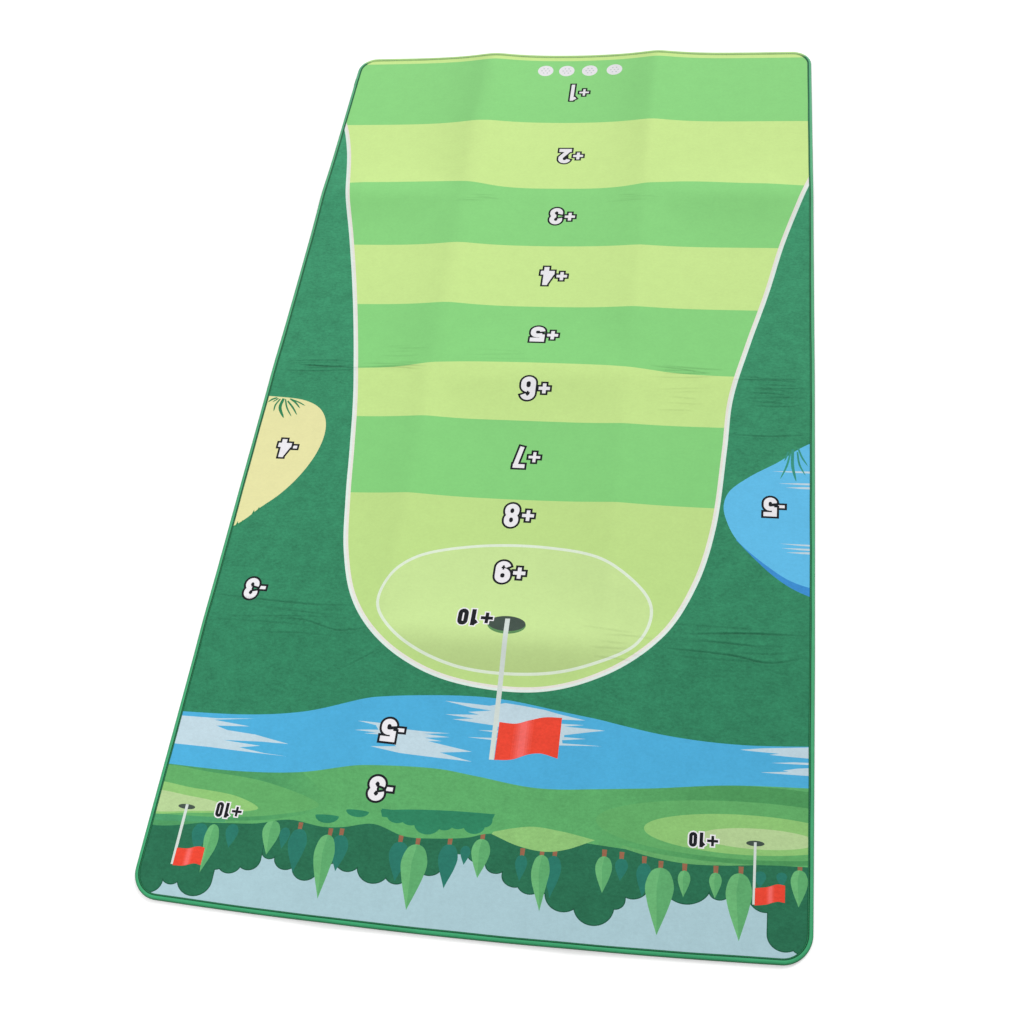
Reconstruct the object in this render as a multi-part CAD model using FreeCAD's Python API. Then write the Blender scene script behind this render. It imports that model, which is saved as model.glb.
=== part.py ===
import FreeCAD, Part
import math
import os

# Practice putting mat: a thin, soft, layered mat that is bound round its edge and folds across its middle.
# Millimetres. +Z is up. +Y runs from the player's end (the tee end) to the end with the big flag.
# +X is to the player's right. The origin is on the floor, under the centre of the mat.

# Driving dimensions
LENGTH = 1500.0
WIDTH = 800.0
FLAG_CORNER_RADIUS = 34.0
TEE_CORNER_RADIUS = 32.0
FOLD_Y = -40.0

# Thickness of each layer, from the floor up
TAPE_THICKNESS = 0.6
BACKING_THICKNESS = 0.5
FOAM_THICKNESS = 2.8
FACE_THICKNESS = 0.6

# Edge binding: a strip of tape folded over the edge, with one leg above and one below
TAPE_LEG = 7.0
TAPE_EDGE_ROUND = 1.0
SEAM_INSET = 5.4
THREAD_WIDTH = 0.5
THREAD_DEPTH = 0.3

# Grip dots under the backing
DOT_PITCH = 40.0
DOT_BASE_RADIUS = 4.0
DOT_TIP_RADIUS = 3.0
DOT_HEIGHT = 0.5
DOT_EDGE_MARGIN = 5.0

# Heights worked out from the layers
BACKING_BOTTOM = TAPE_THICKNESS
FOAM_BOTTOM = BACKING_BOTTOM + BACKING_THICKNESS
FACE_BOTTOM = FOAM_BOTTOM + FOAM_THICKNESS
FACE_TOP = FACE_BOTTOM + FACE_THICKNESS
MAT_TOP = FACE_TOP + TAPE_THICKNESS

HALVES = ("tee", "flag")


def vector(x, y, z):
    return FreeCAD.Vector(x, y, z)


def corner_arc(centre_x, centre_y, radius, start_degrees, z):
    """A quarter circle, anticlockwise seen from above."""
    points = []
    for step in (0, 45, 90):
        angle = math.radians(start_degrees + step)
        points.append(vector(centre_x + radius * math.cos(angle), centre_y + radius * math.sin(angle), z))
    return Part.Arc(*points).toShape()


def outline_face(inset, z):
    """The mat's outline moved in by inset: a rectangle with rounder corners at the flag end."""
    half_width = WIDTH / 2 - inset
    half_length = LENGTH / 2 - inset
    flag_radius = FLAG_CORNER_RADIUS - inset
    tee_radius = TEE_CORNER_RADIUS - inset
    arcs = [
        corner_arc(half_width - flag_radius, half_length - flag_radius, flag_radius, 0, z),
        corner_arc(flag_radius - half_width, half_length - flag_radius, flag_radius, 90, z),
        corner_arc(tee_radius - half_width, tee_radius - half_length, tee_radius, 180, z),
        corner_arc(half_width - tee_radius, tee_radius - half_length, tee_radius, 270, z),
    ]
    edges = []
    for index, arc in enumerate(arcs):
        following = arcs[(index + 1) % len(arcs)]
        start = arc.valueAt(arc.LastParameter)
        end = following.valueAt(following.FirstParameter)
        edges.append(arc)
        edges.append(Part.LineSegment(start, end).toShape())
    return Part.Face(Part.Wire(edges))


def slab(inset, bottom, top):
    """A flat layer with the mat's outline, moved in by inset."""
    return outline_face(inset, bottom).extrude(vector(0, 0, top - bottom))


def band(inset, width, bottom, top):
    """A closed ring of the given width that follows the mat's outline."""
    return slab(inset, bottom, top).cut(slab(inset + width, bottom, top))


def half_of(shape, half):
    """The part of a shape on one side of the fold line."""
    margin = 10.0
    if half == "tee":
        low_y = -LENGTH / 2 - margin
        high_y = FOLD_Y
    else:
        low_y = FOLD_Y
        high_y = LENGTH / 2 + margin
    corner = vector(-WIDTH / 2 - margin, low_y, -margin)
    box = Part.makeBox(WIDTH + 2 * margin, high_y - low_y, MAT_TOP + 2 * margin, corner)
    return shape.common(box)


def backing_cloth():
    return slab(TAPE_THICKNESS, BACKING_BOTTOM, FOAM_BOTTOM)


def foam_core():
    return slab(TAPE_THICKNESS, FOAM_BOTTOM, FACE_BOTTOM)


def printed_face():
    return slab(TAPE_THICKNESS, FACE_BOTTOM, FACE_TOP)


def needle_thread():
    """The upper thread of the seam, sunk into the tape's top leg."""
    return band(SEAM_INSET, THREAD_WIDTH, MAT_TOP - THREAD_DEPTH, MAT_TOP)


def bobbin_thread():
    """The lower thread of the seam, sunk into the tape's bottom leg."""
    return band(SEAM_INSET, THREAD_WIDTH, 0, THREAD_DEPTH)


def edge_binding():
    """The tape folded round the edge: a C-shaped section that runs all the way round."""
    body = slab(0, 0, MAT_TOP)
    rims = []
    for edge in body.Edges:
        if edge.BoundBox.ZLength < TAPE_THICKNESS:
            rims.append(edge)
    body = body.makeFillet(TAPE_EDGE_ROUND, rims)
    body = body.cut(slab(TAPE_THICKNESS, TAPE_THICKNESS, FACE_TOP))
    body = body.cut(slab(TAPE_LEG, 0, MAT_TOP))
    body = body.cut(needle_thread())
    return body.cut(bobbin_thread())


def clear_of_binding(x, y):
    """Whether a grip dot at x, y lies wholly inside the binding's bottom leg."""
    reach = TAPE_LEG + DOT_BASE_RADIUS + DOT_EDGE_MARGIN
    corner_radius = FLAG_CORNER_RADIUS if y > 0 else TEE_CORNER_RADIUS
    beyond_x = abs(x) - (WIDTH / 2 - corner_radius)
    beyond_y = abs(y) - (LENGTH / 2 - corner_radius)
    if beyond_x > 0 and beyond_y > 0:
        return math.hypot(beyond_x, beyond_y) < corner_radius - reach
    return max(beyond_x, beyond_y) < corner_radius - reach


def grip_dots(half):
    """Rows of low rubber dots under one half of the backing, counted out from the fold line."""
    direction = -1 if half == "tee" else 1
    columns = int(WIDTH / DOT_PITCH)
    rows = int(LENGTH / DOT_PITCH)
    dots = []
    for row in range(rows):
        y = FOLD_Y + direction * (row + 0.5) * DOT_PITCH
        for column in range(columns):
            x = (column - (columns - 1) / 2) * DOT_PITCH
            if clear_of_binding(x, y):
                tip = vector(x, y, BACKING_BOTTOM - DOT_HEIGHT)
                dots.append(Part.makeCone(DOT_TIP_RADIUS, DOT_BASE_RADIUS, DOT_HEIGHT, tip))
    return Part.makeCompound(dots)


def export(name, shape):
    solids = shape.Solids
    closed = all(solid.isValid() and solid.isClosed() for solid in solids)
    print(name, "solids", len(solids), "closed", closed, "volume", round(shape.Volume, 1))
    if len(solids) == 1:
        shape = solids[0]
    shape.exportStep(os.path.join("parts", name + ".step"))


def main():
    os.makedirs("parts", exist_ok=True)
    layers = {
        "printed_face": printed_face(),
        "foam_core": foam_core(),
        "backing_cloth": backing_cloth(),
        "edge_binding": edge_binding(),
        "needle_thread": needle_thread(),
        "bobbin_thread": bobbin_thread(),
    }
    for half in HALVES:
        for name, shape in layers.items():
            export(name + "_" + half, half_of(shape, half))
        export("grip_dots_" + half, grip_dots(half))


main()
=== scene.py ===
import math
import random

import bpy
import numpy as np
from mathutils import Matrix, Vector
from mathutils.geometry import delaunay_2d_cdt


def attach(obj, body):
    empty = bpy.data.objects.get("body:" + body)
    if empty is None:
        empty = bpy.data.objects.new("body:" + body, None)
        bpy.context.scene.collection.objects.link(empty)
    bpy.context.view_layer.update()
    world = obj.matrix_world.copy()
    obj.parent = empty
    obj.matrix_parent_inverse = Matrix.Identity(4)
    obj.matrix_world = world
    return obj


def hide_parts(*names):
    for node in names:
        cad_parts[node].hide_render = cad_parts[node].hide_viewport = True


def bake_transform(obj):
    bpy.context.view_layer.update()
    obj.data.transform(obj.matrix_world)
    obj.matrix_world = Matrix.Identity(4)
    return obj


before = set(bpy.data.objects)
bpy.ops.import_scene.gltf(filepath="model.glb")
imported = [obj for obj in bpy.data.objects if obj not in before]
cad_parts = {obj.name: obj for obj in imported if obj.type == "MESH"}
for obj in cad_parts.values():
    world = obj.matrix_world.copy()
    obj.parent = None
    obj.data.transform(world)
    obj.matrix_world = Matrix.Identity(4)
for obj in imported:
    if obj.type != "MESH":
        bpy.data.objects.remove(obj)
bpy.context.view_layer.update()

# Practice putting mat. Outlines are in millimetres on the mat, x to the player's right and y from the
# tee end to the flag end, as in part.py; every mesh is made in metres in the CAD frame.
MM = 0.001
SEED = 20

LENGTH = 1500.0
WIDTH = 800.0
HALF_LENGTH = LENGTH / 2
HALF_WIDTH = WIDTH / 2
FLAG_CORNER_RADIUS = 34.0
TEE_CORNER_RADIUS = 32.0
FOLD_Y = -40.0
FOLD_START = FOLD_Y - 10.0
FOLD_END = FOLD_Y + 22.0
FOLD_ROW = 1.6
FOLD_ROW_MARGIN = 5.0
FOLD_ROW_GAP = 0.0005

TAPE = 0.6
BACKING_BOTTOM = TAPE
FOAM_BOTTOM = BACKING_BOTTOM + 0.5
FACE_BOTTOM = FOAM_BOTTOM + 2.8
FACE_TOP = FACE_BOTTOM + 0.6
SEAM_INSET = 5.4
TAPE_LEG = 7.0
STITCH_PITCH = 3.2

LIFT_LIMIT = 9.4
SIDE_BOW = 2.8
END_PULL = 1.2
END_BOW = 9.0
END_BOW_FROM = 200.0
FACE_GRID = 8.0
LAYER_GRID = 16.0
HIDDEN_GRID = 25.0
GRID_TOLERANCE = 0.000001
CDT_SNAP = 0.12
PLAIN_SNAP = 0.00001
SAME_PLACE = 0.05


# ---------------------------------------------------------------- curves

def smooth(points, closed=False, step=5.0):
    """Points about step apart on a smooth curve through the given points."""
    known = [np.array(p, float) for p in points]
    count = len(known)
    spans = count if closed else count - 1
    result = []
    for i in range(spans):
        b = known[i]
        c = known[(i + 1) % count]
        a = known[i - 1] if closed or i > 0 else 2 * b - c
        d = known[(i + 2) % count] if closed or i + 2 < count else 2 * c - b
        knots = [0.0]
        for p, q in ((a, b), (b, c), (c, d)):
            knots.append(knots[-1] + max(float(np.linalg.norm(q - p)), 1e-6) ** 0.5)
        pieces = max(1, int(round(float(np.linalg.norm(c - b)) / step)))
        for k in range(pieces):
            t = knots[1] + (knots[2] - knots[1]) * k / pieces
            ab = blend_points(a, b, knots[0], knots[1], t)
            bc = blend_points(b, c, knots[1], knots[2], t)
            cd = blend_points(c, d, knots[2], knots[3], t)
            early = blend_points(ab, bc, knots[0], knots[2], t)
            late = blend_points(bc, cd, knots[1], knots[3], t)
            result.append(tuple(blend_points(early, late, knots[1], knots[2], t)))
    if not closed:
        result.append(tuple(known[-1]))
    return result


def blend_points(p, q, start, end, t):
    return (p * (end - t) + q * (t - start)) / (end - start)


def arc(x, y, radius_x, radius_y, start=0.0, end=360.0, step=2.5):
    """Points on an ellipse from one angle to another, without the last point of a whole turn."""
    sweep = math.radians(abs(end - start))
    pieces = max(6, int(math.ceil(sweep * max(radius_x, radius_y) / step)))
    count = pieces if abs(end - start) >= 360 else pieces + 1
    points = []
    for k in range(count):
        angle = math.radians(start + (end - start) * k / pieces)
        points.append((x + radius_x * math.cos(angle), y + radius_y * math.sin(angle)))
    return points


def box(left, bottom, right, top):
    return [(left, bottom), (right, bottom), (right, top), (left, top)]


def divided(points, longest=FACE_GRID):
    """The closed outline with its long straight runs split, so that it can follow the mat's lift."""
    result = []
    for (ax, ay), (bx, by) in zip(points, list(points[1:]) + [points[0]]):
        pieces = max(1, int(math.ceil(math.hypot(bx - ax, by - ay) / longest)))
        for k in range(pieces):
            share = k / pieces
            result.append((ax + (bx - ax) * share, ay + (by - ay) * share))
    return result


def offsets(path, distance, closed=False):
    """The path moved sideways to its left by a distance, with mitred corners."""
    points = [np.array(p, float) for p in path]
    count = len(points)
    moved = []
    for i in range(count):
        before = points[i] - points[i - 1] if closed or i > 0 else None
        after = points[(i + 1) % count] - points[i] if closed or i + 1 < count else None
        sides = []
        for run in (before, after):
            if run is not None:
                size = max(float(np.linalg.norm(run)), 1e-9)
                sides.append(np.array([-run[1], run[0]]) / size)
        middle = sum(sides)
        middle = middle / max(float(np.linalg.norm(middle)), 1e-9)
        stretch = 1.0 / max(float(middle @ sides[0]), 0.4)
        moved.append(tuple(points[i] + middle * distance * stretch))
    return moved


def stroke(path, half_width, closed=False, extend=0.0):
    """Four-sided pieces that together cover a thick line along the path."""
    points = [np.array(path[0], float)]
    for place in path[1:]:
        if math.hypot(place[0] - points[-1][0], place[1] - points[-1][1]) > SAME_PLACE:
            points.append(np.array(place, float))
    if closed and float(np.linalg.norm(points[-1] - points[0])) < SAME_PLACE:
        points.pop()
    if extend and not closed:
        for end, inner in ((0, 1), (-1, -2)):
            run = points[end] - points[inner]
            points[end] = points[end] + run / float(np.linalg.norm(run)) * extend
    left = offsets(points, half_width, closed)
    right = offsets(points, -half_width, closed)
    last = len(points) if closed else len(points) - 1
    pieces = []
    for i in range(last):
        j = (i + 1) % len(points)
        run = points[j] - points[i]
        piece = [right[i], right[j], left[j], left[i]]
        for near, far in ((0, 1), (3, 2)):
            a, b = np.array(piece[near]), np.array(piece[far])
            if float((b - a) @ run) <= 0:
                piece[near] = piece[far] = tuple((a + b) / 2)
        pieces.append(piece)
    return pieces


# ---------------------------------------------------------------- the mat's shape as it lies

RIDGES = (
    # x, half width, then (y, height) along it
    (-138.0, 88.0, ((-750, 8.5), (-572, 9.2), (-420, 7.5), (-288, 6), (-165, 6), (45, 5), (172, 6),
                    (560, 4), (690, 3), (750, 2))),
    (150.0, 90.0, ((-750, 9), (-572, 10), (-420, 9), (-165, 9), (45, 8), (172, 8), (560, 6), (690, 4),
                   (750, 2.5))),
)
CROSSFOLDS = (
    # y, half width, then (x, height) along it
    (-45.0, 105.0, ((-400, 2), (-190, 3), (-110, 9), (110, 9), (190, 3), (400, 2))),
    (-408.0, 80.0, ((-400, 4), (-330, 8), (-190, 6), (-110, 1), (110, 1), (190, 6), (330, 8), (400, 4))),
    (384.0, 75.0, ((-400, 1.5), (-190, 3.0), (-110, 8.5), (110, 8.5), (190, 3.0), (400, 1.5))),
)
RIDGE_ROUND = 3.0
CROSSFOLD_ROUND = 9.0
FOLD_FALL = 1.7
FOLD_POWER = 1.25
WAVES = (
    # height and length of a low wave over all the mat, then how much and over what length it sways;
    # the first runs across the mat, the second along it
    (0.25, 61.0, 0.8, 97.0),
    (0.20, 83.0, 1.1, 71.0),
)
LIFT_ROUNDING = 16
PUCKER_REACH = 10.0
GROOVE_WIDTH = 1.3
GROOVE_DEPTH = 1.5
SHOULDER_WIDTH = 4.0
SHOULDER_HEIGHT = 1.2
PUCKER_LIMIT = 0.5
PUCKER_EDGE = 390
PUCKERS = (
    # points along each fine crease, then its depth
    (((-390, 385), (-345, 395), (-300, 388), (-215, 383)), 0.42),
    (((-390, 355), (-300, 357), (-240, 362)), 0.34),
    (((150, 412), (187, 435)), 0.26),
    (((165, 380), (210, 387), (260, 375), (300, 375)), 0.34),
    (((200, 350), (260, 351), (390, 345)), 0.34),
    (((-390, 50), (-330, 54), (-285, 52)), 0.30),
    (((-170, -62), (-210, -58), (-255, -50)), 0.26),
    (((270, -42), (330, -38), (385, -38)), 0.30),
)
PUCKER_BUNDLES = (
    # middle x and y, half length, spread across, how many, depth
    (-345, -22, 40, 28, 9, 0.26), (325, -50, 45, 8, 5, 0.34), (215, -50, 48, 7, 4, 0.26),
    (200, -80, 26, 13, 4, 0.10), (-215, -52, 45, 11, 4, 0.22), (-210, -5, 34, 24, 5, 0.12),
    (40, -74, 50, 10, 3, 0.08), (-300, 372, 62, 28, 6, 0.24), (290, 375, 75, 24, 5, 0.20),
    (130, -395, 32, 9, 4, 0.12), (-120, -398, 32, 9, 4, 0.12), (-160, 385, 34, 24, 6, 0.13),
)


def fold_shape(distance, half_width, rounding):
    """A tent with a rounded ridge: 1 on the crease, falling to nearly 0 at half_width."""
    blunt = np.sqrt(distance ** 2 + rounding ** 2) - rounding
    return np.exp(-((FOLD_FALL * blunt / half_width) ** FOLD_POWER))


def lift(x, y):
    """How far creases left from packing hold the mat off the floor, in millimetres."""
    x = np.asarray(x, float)
    y = np.asarray(y, float)
    cubes = np.zeros(np.broadcast(x, y).shape)
    for folds, across, along, rounding in ((RIDGES, x, y, RIDGE_ROUND),
                                           (CROSSFOLDS, y, x, CROSSFOLD_ROUND)):
        for middle, half_width, heights in folds:
            height = np.interp(along, *zip(*heights))
            cubes = cubes + (height * fold_shape(across - middle, half_width, rounding)) ** 3
    total = np.cbrt(cubes)
    for (height, length, sway, sway_length), across, along in zip(WAVES, (x, y), (y, x)):
        total = total + height * (1 + np.sin(across / length + sway * np.sin(along / sway_length)))
    return total / (1 + (total / LIFT_LIMIT) ** LIFT_ROUNDING) ** (1 / LIFT_ROUNDING)


def pucker_curves():
    """Every fine crease as a curve and its depth: those listed, then loose bundles of them."""
    curves = [(smooth(points, step=4.0), depth) for points, depth in PUCKERS]
    chance = random.Random(SEED)
    for x, y, half_length, spread, count, depth in PUCKER_BUNDLES:
        for k in range(count):
            reach = half_length * chance.uniform(0.5, 1.1)
            left = x + chance.uniform(-0.5, 0.5) * half_length - reach
            row = y + spread * (2 * (k + chance.uniform(0.2, 0.8)) / count - 1)
            bend = chance.uniform(-0.06, 0.06) * reach
            tilt = chance.uniform(-0.07, 0.07) * reach
            start, end = (left, row - tilt), (left + 2 * reach, row + tilt)
            points = (start, (left + 0.7 * reach, row + bend), end)
            kept = [(min(max(px, -PUCKER_EDGE), PUCKER_EDGE), py) for px, py in points]
            curves.append((smooth(kept, step=4.0), depth * chance.uniform(0.6, 1.2)))
    return curves


def puckers(x, y):
    """Fine creases in the face: how far they raise it, and how much painted shade darkens their grooves.
    """
    height = np.zeros(len(x))
    groove_shade = np.zeros(len(x))
    for curve, depth in pucker_curves():
        xs, ys = zip(*curve)
        close = (x > min(xs) - PUCKER_REACH) & (x < max(xs) + PUCKER_REACH)
        close &= (y > min(ys) - PUCKER_REACH) & (y < max(ys) + PUCKER_REACH)
        near_x, near_y = x[close], y[close]
        nearest = np.full(len(near_x), 1e9)
        along = np.zeros(len(near_x))
        for k in range(len(curve) - 1):
            start = np.array(curve[k])
            run = np.array(curve[k + 1]) - start
            share = ((near_x - start[0]) * run[0] + (near_y - start[1]) * run[1]) / float(run @ run)
            share = np.clip(share, 0, 1)
            away = np.hypot(near_x - start[0] - share * run[0], near_y - start[1] - share * run[1])
            closer = away < nearest
            nearest = np.where(closer, away, nearest)
            along = np.where(closer, (k + share) / (len(curve) - 1), along)
        fade = depth * np.sin(math.pi * np.clip(along, 0.02, 0.98)) ** 0.5
        groove = np.exp(-((nearest / GROOVE_WIDTH) ** 2))
        shoulder = np.exp(-((nearest / SHOULDER_WIDTH) ** 2))
        height[close] += fade * (SHOULDER_HEIGHT * shoulder - GROOVE_DEPTH * groove)
        # painted shade along the groove of each crease
        groove_shade[close] += fade * groove
    return np.clip(height, -PUCKER_LIMIT, PUCKER_LIMIT), np.clip(groove_shade, 0, PUCKER_LIMIT)


def face_height(x, y):
    return FACE_TOP + lift(x, y) + puckers(x, y)[0]


def laid(flat):
    """Points of the flat mat, moved to where they are as it lies: lifted by its creases, and with its
    long sides and its flag end bowed out a little."""
    x, y, z = flat[:, 0], flat[:, 1], flat[:, 2]
    end_share = (y / HALF_LENGTH) ** 2
    bow = (SIDE_BOW - (SIDE_BOW + END_PULL) * end_share) * (x / HALF_WIDTH) ** 3
    toward_flag = np.clip((y - END_BOW_FROM) / (HALF_LENGTH - END_BOW_FROM), 0, 1) ** 1.5
    end_bow = END_BOW * toward_flag * (1 - (x / HALF_WIDTH) ** 2)
    return np.stack([x + bow, y + end_bow, z + lift(x, y)], axis=1)


def corner_radius(y):
    return FLAG_CORNER_RADIUS if y > 0 else TEE_CORNER_RADIUS


def fold_rows():
    """The close rows of mesh points across the stretch that bends when the mat folds."""
    return [float(y) for y in np.arange(FOLD_START - FOLD_ROW, FOLD_END + 1.5 * FOLD_ROW, FOLD_ROW)]


def around(inset, step):
    """Stations anticlockwise round the mat's outline: x, y, outward x, outward y."""
    stations = []
    corners = ((1, 1, 0), (-1, 1, 90), (-1, -1, 180), (1, -1, 270))
    for side_x, side_y, start in corners:
        radius = corner_radius(side_y)
        centre_x = side_x * (HALF_WIDTH - radius)
        centre_y = side_y * (HALF_LENGTH - radius)
        pieces = max(8, int(round(radius * math.pi / 2 / step)))
        for k in range(pieces + 1):
            angle = math.radians(start + 90 * k / pieces)
            outward = (math.cos(angle), math.sin(angle))
            reach = radius - inset
            stations.append((centre_x + reach * outward[0], centre_y + reach * outward[1], *outward))
    full = []
    for i, station in enumerate(stations):
        following = stations[(i + 1) % len(stations)]
        full.append(station)
        gap = math.hypot(following[0] - station[0], following[1] - station[1])
        if gap > 2 * max(FLAG_CORNER_RADIUS, TEE_CORNER_RADIUS):
            pieces = int(round(gap / step))
            shares = [k / pieces for k in range(1, pieces)]
            rise = following[1] - station[1]
            if abs(rise) > HALF_LENGTH:
                rows = [(y - station[1]) / rise for y in fold_rows()]
                low, high = min(rows) - FOLD_ROW_GAP, max(rows) + FOLD_ROW_GAP
                shares = sorted([share for share in shares if not low < share < high] + rows)
            for share in shares:
                place = [a + (b - a) * share for a, b in zip(station[:2], following[:2])]
                full.append((*place, *station[2:]))
    return full


def outline(inset, step):
    return [(s[0], s[1]) for s in around(inset, step)]


# ---------------------------------------------------------------- the printed picture

PRINT_SCALE = 1.0065
PRINT_SLIP = (
    # y, then how far the print has slipped there across and along the mat
    (-750, -2.0, 0.0), (-572, -2.0, -1.5), (-420, -2.0, -7.0), (-110, -1.5, -6.0), (45, -1.5, -3.5),
    (197, -1.0, 0.0), (351, -0.5, 4.0), (590, 0.0, 1.0), (690, 0.0, -4.0), (750, 0.0, 0.0),
)


def printed_place(x, y):
    """Where a point of the artwork ends up on the cut and sewn cloth."""
    ys, across, along = zip(*PRINT_SLIP)
    slip_x = float(np.interp(y, ys, across))
    slip_y = float(np.interp(y, ys, along))
    return x * PRINT_SCALE + slip_x, y * PRINT_SCALE + slip_y


class Print:
    """Shapes in painting order. A later shape covers an earlier one."""

    def __init__(self):
        self.shapes = []

    def paint(self, ink, points):
        self.shapes.append((ink, divided([printed_place(*p) for p in points])))

    def paint_smooth(self, ink, *edges, step=5.0, closed=False):
        """One shape bounded by smooth curves, one after another."""
        self.paint(ink, [place for edge in edges for place in smooth(edge, closed, step)])

    def paint_all(self, ink, many):
        for points in many:
            self.paint(ink, points)


FAIRWAY_EDGE = (
    (-404, -462), (-380, -389), (-353, -297), (-331, -197), (-306, -97), (-285, 0), (-280, 82),
    (-270, 205), (-250, 288), (-213, 360), (-150, 416), (-77, 444), (0, 447.5), (81, 432),
    (150, 394), (200, 335), (226, 266), (241, 182), (252, 99), (267, -4), (286, -101),
    (308, -201), (333, -303), (356, -392), (377, -503), (393, -560), (410, -600),
)
OVAL_EDGE = (
    (-197, 333), (-180, 376), (-119, 411), (-50, 426), (50, 421), (129, 386), (165, 341),
    (156, 299), (123, 267), (50, 246), (-50, 242), (-127, 257), (-188, 304),
)
EDGE_LINE = 6.8
OVAL_LINE = 4.0
BEYOND = 412.0
STRIPE_LINES = (
    # the end of each mown stripe nearer the flag, from the green to the tee
    ((-BEYOND, 173), (BEYOND, 173)),
    ((-BEYOND, 45), (BEYOND, 45)),
    ((-BEYOND, -41), (-230, -43), (-140, -51), (0, -54), (140, -51), (230, -42), (BEYOND, -40)),
    ((-BEYOND, -165), (BEYOND, -165)),
    ((-BEYOND, -288), (BEYOND, -288)),
    ((-BEYOND, -415), (-300, -419), (-190, -425), (-90, -414), (0, -412), (90, -414), (190, -425),
     (300, -423), (BEYOND, -421)),
    ((-BEYOND, -572), (BEYOND, -572)),
    ((-BEYOND, -730), (BEYOND, -730)),
)


def paint_stripes(picture):
    """Mown stripes right across; the rough is painted over their ends."""
    picture.paint("green_ring", box(-BEYOND, 150, BEYOND, 760))
    for index, line in enumerate(STRIPE_LINES):
        ink = "stripe_light" if index % 2 else "stripe_dark"
        picture.paint(ink, smooth(line, step=8.0) + [(BEYOND, -760), (-BEYOND, -760)])


def paint_oval(picture):
    edge = smooth(OVAL_EDGE, closed=True, step=4.0)
    picture.paint("oval_line", edge)
    picture.paint("green_centre", offsets(edge, -OVAL_LINE, closed=True))


def paint_rough(picture):
    edge = smooth(FAIRWAY_EDGE, step=5.0)
    around_it = [(BEYOND, -590), (BEYOND, 620), (-BEYOND, 620), (-BEYOND, -462)]
    picture.paint("rough", edge + around_it)
    for ink, share in (("line_cool", 0.25), ("line_warm", 0.75)):
        middle = offsets(edge, -EDGE_LINE * share)
        picture.paint_all(ink, stroke(middle, EDGE_LINE * 0.25))


RIVER_TOP = ((-BEYOND, 545), (-300, 548), (-200, 559), (-80, 568), (0, 559), (50, 554), (140, 559),
             (220, 574), (300, 580), (BEYOND, 580))
RIVER_BOTTOM = ((-BEYOND, 493), (-310, 497), (-230, 492), (-130, 476), (-20, 459), (50, 459),
                (140, 470), (230, 495), (300, 505), (BEYOND, 510))
RIVER_FOAM = (
    # ragged patches of light on the water
    ((BEYOND, 516), (389, 515), (341, 514), (294, 510), (347, 516.5), (298, 521), (342, 524),
     (326, 528.5), (288, 531), (242, 539.5), (278, 539.5), (328, 542), (278, 545), (305, 549.5),
     (270, 554), (241, 555.5), (307, 554), (343, 553), (BEYOND, 553)),
    ((158, 503.5), (130, 503.5), (106, 508), (71, 508.5), (40, 508), (73, 511.5), (40, 513), (71, 516.5),
     (49, 519), (66, 520.5), (10, 529), (49, 533.5), (8, 541.5), (62, 540), (98, 539), (136, 534.5),
     (104, 531), (128, 518.5), (147, 519), (132, 516.5), (160, 515.5), (130, 512.5), (134, 507)),
    ((53, 466.5), (19, 467.5), (-4, 468.5), (-23, 463.5), (-46, 465.5), (-73, 469), (-92, 473.5),
     (-125, 480), (-81, 480.5), (-97, 487), (-76, 492), (-23, 496), (-14, 493.5), (40, 489.5),
     (14, 486.5), (50, 484), (8, 481), (22, 478.5), (-7, 474.5), (19, 472.5)),
    ((-88, 485.5), (-124, 486), (-100, 489), (-150, 491.5), (-101, 500), (-101, 502.5), (-128, 503.5),
     (-99, 506.5), (-100, 510.5), (-148, 511.5), (-91, 513.5)),
    ((6, 501), (-21, 499.5), (-22, 502.5)), ((18, 511), (-22, 509), (-23, 512.5)),
    ((-311, 503), (-337, 499.5), (-BEYOND, 493), (-BEYOND, 509.5), (-364, 508), (-345, 507), (-357, 505),
     (-326, 504)),
    ((-348, 517), (-374, 514.5), (-BEYOND, 513.5), (-BEYOND, 516.5), (-374, 517)),
    ((-361, 525.5), (-378, 522), (-BEYOND, 518.5), (-BEYOND, 530.5), (-356, 530), (-336, 529.5),
     (-368, 526.5)),
)


def streak(x, y, length, thickness, drift):
    """A sliver that narrows to a point."""
    middle = x + 0.45 * length
    return [
        (x, y - thickness / 2), (middle, y - 0.36 * thickness + 0.3 * drift),
        (x + length, y + drift), (middle, y + 0.40 * thickness + 0.3 * drift), (x, y + thickness / 2),
    ]


def paint_river(picture):
    top = smooth(RIVER_TOP, step=6.0)
    bottom = smooth(RIVER_BOTTOM, step=6.0)
    picture.paint("river", bottom + top[::-1])
    for patch in RIVER_FOAM:
        picture.paint("foam_streak", patch)


POND_EDGE = ((-BEYOND, 288), (-371, 276), (-350, 264), (-299, 220), (-284, 192), (-279, 169),
             (-285, 147), (-310, 123), (-350, 96), (-374, 76), (-BEYOND, 52))
POND_RIM = ((-BEYOND, 303), (-371, 286), (-345, 268), (-322, 246), (-297, 219))
POND_STREAKS = ((-396, 233, 36, 3.4, 0.5), (-396, 228, 42, 3.2, -0.5), (-396, 222, 44, 2.6, -1.0),
                (-396, 136, 38, 3.8, 0.5), (-396, 130, 47, 3.2, 0.5), (-396, 111.5, 56, 3.2, 0.5))
REEDS = (
    # points along a leaf, then its half width
    (((-374, 74), (-379, 88), (-387, 102)), 1.4),
    (((-373, 80), (-376, 100), (-384, 117)), 1.4),
    (((-367, 76), (-367, 102), (-372, 127)), 2.3),
    (((-364, 82), (-359, 104), (-351, 124)), 1.5),
    (((-361, 80), (-359, 88), (-356, 96)), 1.2),
)


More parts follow.
